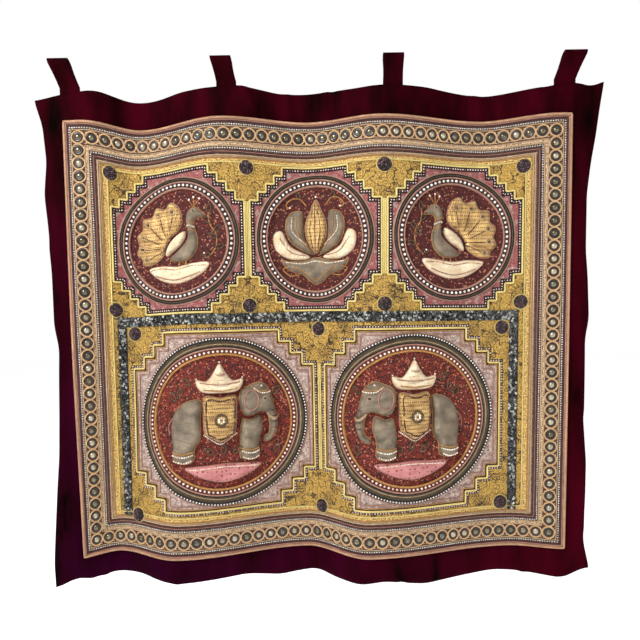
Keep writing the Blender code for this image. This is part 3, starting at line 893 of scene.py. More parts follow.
@dataclass(frozen=True)
class PanelFinish:
    """The panel's own cloth: bands of couching round a gold field with framed nets and sequin discs."""

    cream: Colour = paint(222, 186, 142)
    speck: Colour = paint(70, 42, 30)
    brown: Colour = paint(92, 52, 46)
    dark: Colour = paint(24, 14, 14)
    gold: Colour = paint(232, 190, 98)
    infill: Colour = paint(206, 164, 76)
    infill_dark: Colour = paint(58, 38, 18)
    rose: Colour = paint(156, 76, 76)
    silver: Colour = paint(186, 168, 156)
    disc_dark: Colour = paint(34, 8, 8)
    disc_red: Colour = paint(104, 22, 14)
    disc_bright: Colour = paint(150, 44, 20)
    border: tuple[tuple[float, Colour], ...] = field(init=False)

    def __post_init__(self) -> None:
        """Set the border's bands from the panel's edge in."""
        object.__setattr__(self, "border", (
            (0.0, self.cream), (7.5, self.brown), (11.5, self.dark), (17.5, self.cream), (57.5, self.dark),
            (63.0, self.brown), (67.0, self.dark), (69.5, self.brown), (72.5, self.cream),
            (77.0, self.gold), (88.0, self.infill),
        ))

    def make(self) -> bpy.types.Material:
        """Make the material."""
        kit = NodeKit("embroidered_ground")
        x, y, place = kit.flat_place()
        inset = Side.LEFT.inset(x + PANEL_HALF).least(Side.RIGHT.inset(PANEL_HALF - x))
        inset = inset.least(Side.TOP.inset(-PANEL_TOP - y)).least(Side.FOOT.inset(y + PANEL_FOOT))
        grain = kit.noise(place, 340, 3, 0.75)
        coarse = kit.noise(place, 90, 3, 0.6)
        colour = kit.banded(inset, 100, self.border)
        speckle = grain.ramp(0.54, 0.4) * 0.85 + coarse.ramp(0.62, 0.4) * 0.15
        colour = kit.mix(speckle, colour, self.speck)
        # Cream-white specks where the grain is high: painted highlights.
        colour = kit.mix(grain.ramp(0.54, 0.66) * 0.55, colour, paint(255, 236, 212))
        field_mask = inset > 88
        colour = kit.mix(field_mask, colour, self.scribbled(kit, place, grain))
        for upper in (True, False):
            outer, inner = self.stepped(kit, x, y, upper)
            colour = kit.mix(outer, colour, self.dark)
            colour = kit.mix(inner, colour, self.net(kit, place, upper, coarse, grain))
        radius = self.medallion_radius(kit, x, y)
        colour = kit.mix(radius < 1.0, colour, self.sequins(kit, place, y))
        cell_edge, _, _ = kit.cells(place, 330, "DISTANCE_TO_EDGE")
        kit.bump((cell_edge * 4).clamped() * 0.5 + grain * 0.5, 1.6, 1.0)
        kit.surface(Base_Color=colour, Roughness=grain * 0.3 + 0.45, Metallic=field_mask * 0.2)
        return kit.material

    def stepped(self, kit: NodeKit, x: Value, y: Value, upper: bool) -> tuple[Value, Value]:
        """Masks of a row's stepped frames: all that they hold, and what lies inside their beads.

        Args:
            kit: The material's nodes; not used.
            x: The flat place across.
            y: The flat place up.
            upper: Whether it is the upper row.

        Returns:
            The outer mask and the inner one.
        """
        frames = [frame for frame in FRAMES if frame.upper == upper]
        first = frames[0]
        across = None
        for frame in frames:
            middle, half = (frame.left + frame.right) / 2, (frame.right - frame.left) / 2
            depth = half - abs(x - middle)
            across = depth if across is None else across.most(depth)
        down = (first.foot - first.top) / 2 - abs(y + (first.top + first.foot) / 2)
        masks = []
        for inset in (0.0, 10.0):
            stairs = ((across - inset) * (1 / first.step)).floor() + (down - inset) * (1 / first.step)
            masks.append((stairs > first.steps) * (across > inset) * (down > inset))
        return masks[0], masks[1]

    def medallion_radius(self, kit: NodeKit, x: Value, y: Value) -> Value:
        """How far a place is from the nearest medallion's middle, as a share of its disc's radius."""
        nearest = None
        for ring in RINGS:
            reach = ring.width - 3
            across = (x - ring.x) * (1 / (ring.radius_x - reach))
            up = (y + ring.drop) * (1 / (ring.radius_y - reach))
            distance = (across * across + up * up).maths("SQRT")
            nearest = distance if nearest is None else nearest.least(distance)
        return nearest

    def net(self, kit: NodeKit, place: bpy.types.NodeSocket, upper: bool, coarse: Value, grain: Value) -> Any:
        """The net of metal thread inside a frame: rose above, and silver below."""
        _, chance, _ = kit.cells(place, 330)
        knots = grain.ramp(0.5, 0.38) * 0.6
        if upper:
            thread = (chance * 0.35 + coarse.ramp(0.52, 0.62) * 0.7 - 0.1).clamped()
            return kit.mix(knots, kit.mix(thread, self.rose, self.silver), paint(60, 34, 34))
        thread = (chance * 0.7 + coarse.ramp(0.4, 0.65) * 0.4).clamped()
        return kit.mix(knots, kit.mix(thread, paint(134, 104, 100), paint(222, 200, 184)), paint(66, 46, 44))

    def scribbled(self, kit: NodeKit, place: bpy.types.NodeSocket, grain: Value) -> Any:
        """Gold cloth with a scribble of dark thread, and painted shade in its dark grain and the darker patches
        between.
        """
        wander = abs(kit.noise(place, 44, 1) - 0.5)
        line = wander.ramp(0.022, 0.008)
        patch = kit.noise(place, 26, 2).ramp(0.5, 0.62) * 0.3
        # The scribble line is dark thread; the dark grain and the patches are painted shade.
        dark = (line * 0.75 + grain.ramp(0.56, 0.42) * 0.75 + patch).clamped()
        bright = kit.mix(grain.ramp(0.56, 0.68) * 0.5, self.infill, paint(255, 226, 130))
        return kit.mix(dark, bright, self.infill_dark)

    def sequins(self, kit: NodeKit, place: bpy.types.NodeSocket, y: Value) -> Any:
        """The disc of small red-brown sequins behind a figure, brighter in the lower row."""
        _, chance, _ = kit.cells(place, 430, jitter=0.8)
        red = kit.mix((y < -445) * 0.8, self.disc_red, self.disc_bright)
        # The spread from dark to red from cell to cell is partly the sequins' own tone and partly painted glitter;
        # the pale specks in about one cell of fourteen are painted glints.
        base = kit.mix(chance.ramp(0.15, 0.9), self.disc_dark, red)
        return kit.mix((chance > 0.93) * 0.6, base, paint(214, 150, 116))


# The pieces

@dataclass
class Ground:
    """The velvet ground."""

    columns: int = 186
    rows: int = 162
    edge_blur: float = 10.0
    left: tuple[tuple[float, float], ...] = (
        (15, 56), (64, 42), (133, 37), (197, 44), (263, 39), (339, 36), (454, 36), (499, 28),
        (558, 31), (638, 34), (715, 38), (779, 45), (873, 54), (929, 59), (977, 58),
    )
    right: tuple[tuple[float, float], ...] = (
        (-6, 65), (46, 57), (100, 50), (153, 41), (213, 34), (323, 34), (376, 39), (460, 43),
        (500, 34), (658, 35), (749, 43), (802, 42), (842, 39), (910, 40), (964, 53),
    )
    top: tuple[tuple[float, float], ...] = (
        (-577, 41), (-526, 51), (-452, 60), (-392, 55), (-342, 57), (-285, 63), (-203, 57), (-162, 60),
        (-78, 53), (12, 58), (87, 55), (229, 59), (351, 50), (478, 53), (530, 59), (561, 51), (586, 62),
    )
    foot: tuple[tuple[float, float], ...] = (
        (-579, 56), (-538, 38), (-496, 48), (-390, 41), (-301, 49), (-166, 46), (-94, 59), (-16, 49),
        (21, 54), (89, 53), (143, 47), (228, 61), (338, 54), (377, 51), (516, 61), (556, 44), (574, 43),
    )

    def border(self, table: Sequence[tuple[float, float]], place: np.ndarray) -> np.ndarray:
        """The velvet's width beyond the panel, smoothed a little along the edge."""
        spots, widths = np.array(table, float).T
        blurred = [np.interp(place + shift, spots, widths) for shift in (-self.edge_blur, 0, self.edge_blur)]
        return np.mean(blurred, axis=0)

    def spread(self, shares: np.ndarray) -> np.ndarray:
        """Spread an even grid over the uneven outline.

        Args:
            shares: How far across and how far down each point is, from 0 to 1.

        Returns:
            The flat places.
        """
        across, down = shares.T
        drop = down * GROUND_DROP
        x = np.zeros_like(across)
        for _ in range(4):
            left = -PANEL_HALF - self.border(self.left, drop)
            right = PANEL_HALF + self.border(self.right, drop)
            x = left + (right - left) * across
            top = PANEL_TOP - self.border(self.top, x)
            foot = PANEL_FOOT + self.border(self.foot, x)
            drop = top + (foot - top) * down
        return np.column_stack([x, -drop])

    def creased(self, flat: np.ndarray) -> np.ndarray:
        """How far small creases lift the velvet outside the panel."""
        x, drop = flat[:, 0], -flat[:, 1]
        lift = np.zeros(len(flat))
        for start_x, start_drop, end_x, end_drop, width, height in CREASES:
            run = np.array([end_x - start_x, end_drop - start_drop])
            length = np.hypot(*run)
            offset = np.column_stack([x - start_x, drop - start_drop])
            on = offset @ run / length
            off = (offset @ np.array([-run[1], run[0]])) / length
            fade = np.clip(np.minimum(on, length - on) / 18 + 1, 0, 1)
            lift += height * np.exp(-(off / width) ** 2) * fade
        beyond = np.maximum(np.abs(x) - PANEL_HALF, np.maximum(PANEL_TOP - drop, drop - PANEL_FOOT))
        return lift * np.clip(beyond / 12, 0, 1)

    def build(self, velvet: bpy.types.Material) -> bpy.types.Object:
        """Build the velvet ground.

        Args:
            velvet: Its material.

        Returns:
            The sheet.
        """
        bm = bmesh.new()
        bmesh.ops.create_grid(bm, x_segments=self.columns, y_segments=self.rows, size=0.5)
        shape = Shape.read(bm)
        shares = shape.points[:, :2] * (1, -1) + 0.5
        flat = self.spread(shares)
        hem = np.minimum(np.minimum(shares[:, 0], 1 - shares[:, 0]) * 1100,
                         np.minimum(shares[:, 1], 1 - shares[:, 1]) * 972)
        roll = -1.2 * np.exp(-hem / 2.5) + 0.5 * np.exp(-((hem - 12) / 4) ** 2)
        shape.points = np.column_stack([flat, self.creased(flat) + roll])
        shape.uvs = shape.points[shape.corners, :2] * MM
        sheet = add_piece("velvet_cloth", shape, [velvet], ["velvet_ground"])
        thicken(sheet, GROUND_THICKNESS)
        return sheet


CREASES = (
    (-150, 0, -118, 60, 9, 5), (-60, 4, -52, 60, 7, 4), (20, 2, 8, 58, 6, 4), (32, 0, 30, 58, 7, -4),
    (-470, 930, -480, 985, 8, 5), (-300, 925, -310, 980, 9, 4), (190, 925, 176, 985, 8, -5),
    (420, 925, 440, 980, 7, 5), (-545, 880, -500, 985, 10, 4), (-560, 300, -530, 420, 8, 3),
    (545, 420, 560, 640, 9, 4), (540, 700, 566, 880, 8, 4), (330, 0, 350, 58, 8, 4), (470, 4, 450, 58, 8, -4),
)


def thicken(piece: bpy.types.Object, thickness: float) -> None:
    """Give a sheet its thickness, behind its face."""
    wall = piece.modifiers.new("thickness", "SOLIDIFY")
    wall.thickness = thickness * MM
    wall.offset = -1
    wall.use_even_offset = False


@dataclass
class Tab:
    """A strip of velvet folded over the rod and sewn behind the hem."""

    name: str
    place: float
    width: float
    lean: float
    hem_drop: float
    loop: float = 10.0
    sewn: float = 34.0
    front_lift: float = -3.6
    back_lift: float = -6.2
    columns: int = 8
    arc_steps: int = 14
    leg_steps: int = 8

    def build(self, velvet: bpy.types.Material) -> bpy.types.Object:
        """Build the tab.

        Args:
            velvet: Its material.

        Returns:
            The strip.
        """
        half = self.width / 2
        across = np.linspace(-half, half, self.columns + 1)
        middle = DRAPE.hang(np.array([[self.place, -self.hem_drop, 0.0]]))[0] / MM
        legs = []
        for lift in (self.front_lift, self.back_lift):
            rows = []
            for drop in np.linspace(self.hem_drop + self.sewn, self.hem_drop, 4):
                flat = np.column_stack([self.place + across, np.full(len(across), -drop), np.full(len(across), lift)])
                rows.append(DRAPE.hang(flat) / MM)
            legs.append(rows)
        arc = []
        for step in range(self.arc_steps + 1):
            angle = math.pi * step / self.arc_steps
            arc.append(self.straight_row(middle, across, -self.loop * math.cos(angle), self.loop * math.sin(angle)))
        front, back = legs
        rows = front + self.leg(front[-1], arc[0]) + arc + self.leg(arc[-1], back[-1]) + back[::-1]
        bm = bmesh.new()
        bmesh.ops.create_grid(bm, x_segments=self.columns, y_segments=len(rows) - 1, size=0.5)
        shape = Shape.read(bm)
        shape.points = np.concatenate(rows)
        shape.points *= MM
        strip = add_piece(self.name + "_strip", shape, [velvet], [self.name], hang=False)
        thicken(strip, 2.0)
        strip.modifiers["thickness"].offset = 0
        return strip

    def straight_row(self, middle: np.ndarray, across: np.ndarray, depth: float, height: float) -> np.ndarray:
        """A row of points along the rod's line, moved sideways by the tab's lean."""
        lean = self.lean * (height - middle[2]) / -middle[2]
        return np.column_stack([
            middle[0] + across + lean, np.full(len(across), depth), np.full(len(across), height)])

    def leg(self, start: np.ndarray, end: np.ndarray) -> list[np.ndarray]:
        """The rows between two others, a little waisted where the strip is drawn in."""
        rows = []
        for share in np.linspace(0, 1, self.leg_steps + 1)[1:-1]:
            row = start + (end - start) * share
            middle = row.mean(axis=0)
            waist = 1 - 0.04 * math.sin(math.pi * share)
            rows.append(middle + (row - middle) * (waist, 1, 1))
        return rows


@dataclass
class Panel:
    """The embroidered panel's cloth."""

    columns: int = 180
    rows: int = 150

    def build(self, finish: bpy.types.Material) -> bpy.types.Object:
        """Build the panel.

        Args:
            finish: Its material.

        Returns:
            The sheet.
        """
        bm = bmesh.new()
        bmesh.ops.create_grid(bm, x_segments=self.columns, y_segments=self.rows, size=0.5)
        shape = Shape.read(bm)
        x = shape.points[:, 0] * 2 * PANEL_HALF
        y = (shape.points[:, 1] - 0.5) * (PANEL_FOOT - PANEL_TOP) - PANEL_TOP
        shape.points = np.column_stack([x, y, np.full(len(x), PANEL_FACE)])
        shape.uvs = shape.points[shape.corners, :2] * MM
        sheet = add_piece("panel_cloth", shape, [finish], ["embroidered_panel"])
        thicken(sheet, PANEL_THICKNESS)
        return sheet


class Thread(Enum):
    """The cords' colours, in the order of the cord pieces' materials."""

    PEACH = 0
    CREAM = 1
    BROWN = 2
    YELLOW = 3
    TAN = 4
    OLIVE = 5
    GOLD = 6
    BLACK = 7


THREADS = (
    CordFinish("peach_cord", paint(232, 184, 144), paint(128, 80, 56), 5.0),
    CordFinish("cream_cord", paint(240, 208, 164), paint(112, 76, 50), 4.6),
    CordFinish("brown_cord", paint(112, 64, 56), paint(30, 16, 14), 4.2),
    CordFinish("yellow_cord", paint(255, 240, 160), paint(206, 168, 84), 4.6),
    CordFinish("tan_cord", paint(226, 170, 146), paint(104, 62, 54), 4.6),
    CordFinish("olive_cord", paint(134, 116, 88), paint(34, 26, 20), 4.6, 0.3, 0.45),
    CordFinish("gold_cord", paint(240, 182, 104), paint(128, 74, 34), 4.6, 0.25, 0.4),
    CordFinish("black_cord", paint(36, 26, 26), paint(8, 5, 6), 4.0),
)


@dataclass
class Cordwork:
    """The couched cords of the border, the frames and the rings."""

    step: float = 4.0

    def laid(self, route: np.ndarray, radius: float, thread: Thread, closed: bool = True,
             base: float = PANEL_FACE) -> Shape:
        """A cord sewn down along a route, sunk a little into the cloth."""
        return cord(lifted(route, base + radius * 0.7), radius, closed, radius > 1.4, thread.value)

    def border(self) -> Shape:
        """The cords that run round the border."""
        rows = (
            (2.6, 2.7, Thread.PEACH), (6.6, 1.3, Thread.TAN), (9.0, 1.0, Thread.BROWN),
            (11.2, 1.0, Thread.BROWN), (18.6, 1.3, Thread.CREAM), (21.0, 0.9, Thread.BROWN),
            (46.4, 1.0, Thread.BROWN), (48.6, 1.1, Thread.CREAM), (56.2, 1.3, Thread.CREAM),
            (64.4, 1.2, Thread.BROWN), (66.8, 0.9, Thread.TAN), (69.6, 1.3, Thread.BROWN),
            (74.0, 1.5, Thread.CREAM), (76.6, 1.2, Thread.CREAM), (79.2, 1.0, Thread.GOLD),
            (86.6, 1.4, Thread.YELLOW),
        )
        return join([self.laid(border_loop(inset, self.step), radius, thread) for inset, radius, thread in rows])

    def frames(self) -> Shape:
        """The stepped frames' cords, and the dividers between the upper ones."""
        parts = []
        for frame in FRAMES:
            rows = ((1.6, 2.1, Thread.YELLOW), (4.6, 0.8, Thread.BLACK), (10.4, 0.9, Thread.BLACK))
            if not frame.upper:
                rows = (
                    (6.8, 2.1, Thread.YELLOW), (9.8, 0.8, Thread.BLACK), (12.0, 1.2, Thread.GOLD),
                    (19.0, 1.2, Thread.TAN),
                )
            for inset, radius, thread in rows:
                route = rounded_route(frame.outline(inset), self.step)
                parts.append(self.laid(route, radius, thread, base=PANEL_FACE + 0.4))
        for middle, top, foot in DIVIDERS:
            for shift in (-1.8, 1.8):
                route = rounded_route(((middle + shift, -top), (middle + shift, -foot)), self.step, False)
                parts.append(self.laid(route, 1.7, Thread.YELLOW, False))
        for x, drop in BOSSES:
            turn = np.arange(20) * math.tau / 20
            ring = np.column_stack([x + BOSS_CORD * np.cos(turn), -drop + BOSS_CORD * np.sin(turn), 0 * turn])
            parts.append(self.laid(ring, 1.0, Thread.YELLOW, base=PANEL_FACE + 0.4))
        return join(parts)

    def rings(self) -> Shape:
        """The cords round the medallions."""
        parts = []
        for ring in RINGS:
            rows = (
                (0.4, 1.4, Thread.TAN), (3.0, 1.1, Thread.BLACK), (5.4, 1.2, Thread.OLIVE),
                (7.8, 1.1, Thread.BLACK), (10.6, 1.6, Thread.TAN), (22.6, 1.5, Thread.TAN),
            )
            if not ring.upper:
                rows = (
                    (0.6, 1.2, Thread.TAN), (8.0, 1.1, Thread.BLACK), (10.4, 1.3, Thread.OLIVE),
                    (13.0, 1.3, Thread.OLIVE), (15.6, 1.1, Thread.CREAM), (18.2, 1.3, Thread.OLIVE),
                    (20.8, 1.1, Thread.BLACK), (23.2, 1.6, Thread.TAN), (35.6, 1.9, Thread.GOLD),
                )
            for inset, radius, thread in rows:
                height = PANEL_FACE + RING_HEIGHT * min(1.0, inset / 3, (ring.width - inset) / 3 + 0.3)
                route = ring.circle(inset, 3.6, height + radius * 0.4)
                parts.append(cord(route, radius, True, radius > 1.4, thread.value))
        return join(parts)


@dataclass
class Chain:
    """The border's chain: two cords that weave round a row of domed sequins."""

    inset: float = 33.0
    reach: float = 11.8
    cord_radius: float = 1.55
    across: int = 39
    down: int = 32

    def runs(self) -> list[tuple[np.ndarray, np.ndarray, int]]:
        """The four sides' first and last centres and how many pitches lie between them."""
        left = -PANEL_HALF + 0.85 * self.inset
        right = PANEL_HALF - 0.94 * self.inset
        top, foot = -PANEL_TOP - self.inset, -PANEL_FOOT + self.inset * 0.97
        corners = [np.array(place) for place in ((left, top), (right, top), (right, foot), (left, foot))]
        counts = (self.across, self.down, self.across, self.down)
        return [(corners[k], corners[(k + 1) % 4], counts[k]) for k in range(4)]

    def centres(self) -> tuple[np.ndarray, np.ndarray]:
        """The middles of the domed sequins, and the direction of the chain at each."""
        places, ways = [], []
        for start, end, count in self.runs():
            for share in np.arange(count) / count:
                places.append(start + (end - start) * share)
                ways.append((end - start) / np.linalg.norm(end - start))
        return np.array(places), np.array(ways)

    def weave(self) -> Shape:
        """The two woven cords of each side."""
        parts = []
        for start, end, count in self.runs():
            length = np.linalg.norm(end - start)
            way = (end - start) / length
            side = np.array([-way[1], way[0]])
            phase = np.linspace(-0.5, count + 0.5, (count + 1) * 14 + 1)
            for sign in (1, -1):
                wave = np.cos(math.pi * phase)
                swing = sign * np.sign(wave) * np.abs(wave) ** 0.55 * self.reach
                over = PANEL_FACE + 1.3 + 0.8 * sign * np.sin(math.pi * phase)
                flat = start + np.outer(phase / count * length, way) + np.outer(swing, side)
                route = np.column_stack([flat, over])
                parts.append(cord(route, self.cord_radius, False, False, 0))
        return join(parts)

    def domes(self) -> Shape:
        """A dark cup with a silver domed sequin in each loop of the chain."""
        places, _ = self.centres()
        seats = np.column_stack([places, np.full(len(places), PANEL_FACE)])
        cup = turned_shape(((9.9, 0.0), (9.7, 1.2), (8.4, 1.9), (6.2, 1.4), (4.8, 1.0), (0, 1.0)), 18, 0)
        dome = turned_shape(((5.6, 1.0), (5.3, 2.2), (4.3, 3.3), (2.5, 4.1), (0, 4.4)), 16, 1)
        return join([cup.copies(seats), dome.copies(seats)])

    def wedges(self) -> Shape:
        """The small dark wedges that point in between the loops."""
        bm = bmesh.new()
        bmesh.ops.create_cone(bm, cap_ends=True, segments=3, radius1=3.9, radius2=2.8, depth=1.0)
        wedge = Shape.read(bm)
        places, angles = [], []
        for start, end, count in self.runs():
            way = (end - start) / np.linalg.norm(end - start)
            side = np.array([-way[1], way[0]])
            turn = math.atan2(way[1], way[0])
            for share in (np.arange(count) + 0.5) / count:
                for sign in (1, -1):
                    middle = start + (end - start) * share + side * sign * 8.6
                    places.append((*middle, PANEL_FACE + 0.5))
                    angles.append(turn - sign * math.pi / 2)
        return wedge.copies(np.array(places), 1.0, np.array(angles))


@dataclass
class Beadwork:
    """The rows of beads."""

    pitch: float = 4.7

    def white(self) -> Shape:
        """The white beads of the border and the upper rings."""
        small, large = bead_shape(1.35), bead_shape(2.85)
        parts = []
        for inset in (14.5, 60.4):
            parts.append(small.copies(lifted(along(border_loop(inset), self.pitch), PANEL_FACE + 1.0)))
        for ring in RINGS:
            if ring.upper:
                row = along(ring.circle(16.6, 2.0, PANEL_FACE + RING_HEIGHT + 1.6), 9.6)
                parts.append(large.copies(row))
            else:
                row = along(ring.circle(4.4, 2.0, PANEL_FACE + RING_HEIGHT + 0.6), self.pitch * 1.3)
                parts.append(small.copies(row, 1.3))
        return join(parts)

    def dashes(self) -> Shape:
        """The small beads in the dark strip of the stepped frames."""
        bead = bead_shape(1.6)
        parts = []
        for frame in FRAMES:
            inset = 7.4 if frame.upper else 2.6
            row = along(rounded_route(frame.outline(inset), 2.0), self.pitch * 1.15)
            parts.append(bead.copies(lifted(row, PANEL_FACE + 1.3)))
        return join(parts)

    def inner_rings(self) -> Shape:
        """The cream beads of the lower rings."""
        bead = bead_shape(2.5)
        parts = []
        for ring in RINGS:
            if not ring.upper:
                row = along(ring.circle(29.4, 2.0, PANEL_FACE + RING_HEIGHT + 1.0), 8.6)
                parts.append(bead.copies(row))
        return join(parts)


@dataclass
class RingBand:
    """The low padded band that carries a medallion's cords and beads."""

    steps: int = 96

    def shape(self, ring: Ring) -> Shape:
        """One ring's band; its UV place is the distance in from its outer edge."""
        section = (
            (0.0, 0.0), (0.8, RING_HEIGHT * 0.6), (3.0, RING_HEIGHT), (ring.width - 3.0, RING_HEIGHT),
            (ring.width - 0.8, RING_HEIGHT * 0.6), (ring.width, 0.0),
        )
        turned = turned_shape([(ring.radius_x - inset, height) for inset, height in section], self.steps,
                              0 if ring.upper else 1)
        inset = ring.radius_x - np.hypot(turned.points[:, 0], turned.points[:, 1])
        angle = np.arctan2(turned.points[:, 1], turned.points[:, 0])
        turned.points = turned.points * (1, ring.radius_y / ring.radius_x, 1) + (ring.x, -ring.drop, PANEL_FACE)
        turned.uvs = np.column_stack([inset, angle * ring.radius_x])[turned.corners] * MM
        return turned


@dataclass(frozen=True)
class RingFinish:
    """A ring's cloth, in bands from its outer edge in."""

    name: str
    bands: tuple[tuple[float, Colour], ...]

    def make(self) -> bpy.types.Material:
        """Make the material."""
        kit = NodeKit(self.name)
        inset, _, _ = kit.flat_place()
        place = kit.object_place()
        grain = kit.noise(place, 500, 2)
        _, chance, _ = kit.cells(place, 380)
        colour = kit.mix(chance * 0.5, kit.banded(inset, 40, self.bands), paint(30, 16, 14))
        kit.bump(grain, 0.8, 0.8)
        kit.surface(Base_Color=colour, Roughness=0.5, Metallic=0.2)
        return kit.material


RING_FINISHES = (
    RingFinish("upper_ring_band", (
        (0, paint(180, 140, 120)), (2, paint(78, 64, 48)), (10, paint(196, 160, 130)), (12, paint(48, 18, 16)),
        (21.5, paint(186, 140, 118)),
    )),
    RingFinish("lower_ring_band", (
        (0, paint(120, 100, 90)), (2, paint(26, 18, 20)), (7, paint(150, 138, 120)), (12, paint(110, 98, 78)),
        (18, paint(40, 30, 30)), (21, paint(200, 176, 140)), (24.5, paint(92, 30, 24)),
        (34, paint(206, 150, 84)),
    )),
)


@dataclass
class SequinBand:
    """The dark band of overlapping sequins, with its two legs."""

    pitch: float = 4.3
    seed: int = 5

    def build(self) -> tuple[Shape, Shape]:
        """Build the band's cloth and its sequins."""
        legs = (
            (BAND_LEFT, BAND_RIGHT, BAND_TOP, BAND_FOOT),
            (BAND_LEFT, BAND_LEFT + LEG_WIDTH, BAND_FOOT, LEG_FOOT),
            (BAND_RIGHT - LEG_WIDTH, BAND_RIGHT, BAND_FOOT, LEG_FOOT),
        )
        rng = np.random.default_rng(self.seed)
        strips, places = [], []
        for left, right, top, foot in legs:
            bm = bmesh.new()
            bmesh.ops.create_grid(bm, x_segments=max(2, round((right - left) / 6)),
                                  y_segments=max(2, round((foot - top) / 6)), size=0.5)
            bmesh.ops.scale(bm, vec=(right - left, foot - top, 1), verts=bm.verts)
            bmesh.ops.translate(bm, vec=((left + right) / 2, -(top + foot) / 2, PANEL_FACE + 0.8), verts=bm.verts)
            walls = bmesh.ops.extrude_face_region(bm, geom=bm.faces[:], use_keep_orig=True)["geom"]
            tops = [item for item in walls if isinstance(item, bmesh.types.BMVert)]
            bmesh.ops.translate(bm, vec=(0, 0, 0.6), verts=tops)
            bmesh.ops.recalc_face_normals(bm, faces=bm.faces)
            strips.append(Shape.read(bm))
            rows = np.arange(-foot + 2.2, -top - 1.6, self.pitch * 0.86)
            for index, y in enumerate(rows):
                columns = np.arange(left + 2 + (index % 2) * self.pitch / 2, right - 1.6, self.pitch)
                places += [(x, y, PANEL_FACE + 1.6) for x in columns]
        spots = np.array(places)
        spots[:, :2] += rng.normal(0, 0.35, (len(spots), 2))
        tilts = rng.normal(0, 0.3, (len(spots), 2))
        sequins = sequin_shape(2.9, 0.9).copies(spots, rng.uniform(0.85, 1.1, len(spots)), 0.0, tilts)
        return join(strips), sequins


@dataclass
class Bosses:
    """The domed clusters of sequins at the cells' corners."""

    radius: float = 12.6
    height: float = 7.5

    def build(self) -> tuple[Shape, Shape]:
        """Build the domes and the sequins sewn over them."""
        places = np.array([(x, -drop, PANEL_FACE) for x, drop in BOSSES], float)
        steps = np.linspace(0, math.pi / 2, 7)
        dome = turned_shape([(self.radius * math.cos(a), self.height * math.sin(a)) for a in steps], 24)
        spots = []
        for count, share in ((18, 0.97), (14, 0.76), (9, 0.5), (4, 0.22)):
            for index in range(count):
                angle = math.tau * (index + 0.5 * (count % 3)) / count
                reach = self.radius * share
                rise = self.height * math.sqrt(max(0.0, 1 - share ** 2))
                spots.append((reach * math.cos(angle), reach * math.sin(angle), rise + 0.6))
        bead = bead_shape(1.9, 0.8)
        all_spots = np.concatenate([np.array(spots) + place for place in places])
        return dome.copies(places), bead.copies(all_spots)


# Padded figures

@dataclass(frozen=True)
class Pad:
    """One padded piece of a figure: its outline from the medallion's middle, height, finish and quilting."""

    name: str
    height: float
    satin: int
    outline: tuple[tuple[float, float], ...]
    quilt: Callable[[np.ndarray, np.ndarray], np.ndarray] | None = None


def feathers(x: np.ndarray, y: np.ndarray) -> np.ndarray:
    """Channels that fan out from the tail's root."""
    angle = np.arctan2(y + 8, x + 12)
    return 1 - 0.35 * np.exp(-(np.abs(np.sin(angle * 7.5)) * np.hypot(x + 12, y + 8) / 14) ** 2)


def wing_rows(x: np.ndarray, y: np.ndarray) -> np.ndarray:
    """Short rows across a wing."""
    return 1 - 0.3 * np.exp(-(np.sin((x + y) * 0.45) / 0.35) ** 2)


def petal_ribs(x: np.ndarray, y: np.ndarray) -> np.ndarray:
    """Ribs that run up a petal."""
    return 1 - 0.25 * np.exp(-(np.sin(x * 0.5 + y * 0.05) / 0.3) ** 2)


def cloth_rows(x: np.ndarray, y: np.ndarray) -> np.ndarray:
    """Level rows of couched thread."""
    return 1 - 0.28 * np.exp(-(np.sin(y * 0.52 + np.abs(x) * 0.04) / 0.35) ** 2)


def hide(x: np.ndarray, y: np.ndarray) -> np.ndarray:
    """Slow folds in an elephant's hide."""
    return 1 - 0.12 * np.exp(-(np.sin(y * 0.16 + x * 0.05) / 0.25) ** 2)


PEACOCK = (
    Pad("body", 11, 0, (
        (-14, -35), (6, -42), (28, -38), (43, -21), (46, 2), (40, 20), (39, 34), (47, 42), (63, 41),
        (55, 52), (42, 62), (28, 56), (23, 38), (27, 16), (24, -1), (10, -15),
    )),
    Pad("wing", 12, 2, (
        (-24, -28), (-6, -19), (9, -9), (19, 4), (19, 16), (8, 14), (-8, 4), (-20, -10),
    ), wing_rows),
    Pad("tail", 9, 1, (
        (-33, -26), (-27, -8), (-13, 9), (3, 20), (12, 32), (11, 52), (2, 70), (-15, 78), (-28, 67),
        (-48, 72), (-58, 55), (-78, 52), (-80, 31), (-92, 18), (-88, 0), (-93, -17), (-82, -29),
        (-79, -41), (-57, -41),
    ), feathers),
    Pad("base", 7, 2, (
        (-66, -50), (-34, -47), (0, -51), (34, -47), (66, -46), (56, -64), (30, -78), (0, -84),
        (-32, -78), (-56, -64),
    ), cloth_rows),
)
LOTUS = (
    Pad("petal_middle", 11, 1, (
        (0, -30), (20, -2), (23, 28), (12, 56), (0, 78), (-12, 56), (-23, 28), (-20, -2),
    ), petal_ribs),
    Pad("petal_left", 10, 0, ((-8, -32), (-25, -2), (-28, 26), (-30, 54), (-54, 50), (-64, 22), (-50, -10))),
    Pad("petal_right", 10, 0, ((8, -32), (50, -10), (64, 22), (54, 50), (30, 54), (28, 26), (25, -2))),
    Pad("petal_low_left", 9, 2, (
        (-14, -37), (-54, -16), (-72, 14), (-89, 6), (-84, -24), (-52, -42),
    ), petal_ribs),
    Pad("petal_low_right", 9, 2, (
        (14, -37), (52, -42), (84, -24), (89, 6), (72, 14), (54, -16),
    ), petal_ribs),
    Pad("calyx", 9, 0, (
        (0, -38), (26, -44), (58, -46), (74, -42), (60, -62), (30, -72), (14, -86), (0, -92),
        (-14, -86), (-30, -72), (-60, -62), (-74, -42), (-58, -46), (-26, -44),
    )),
)
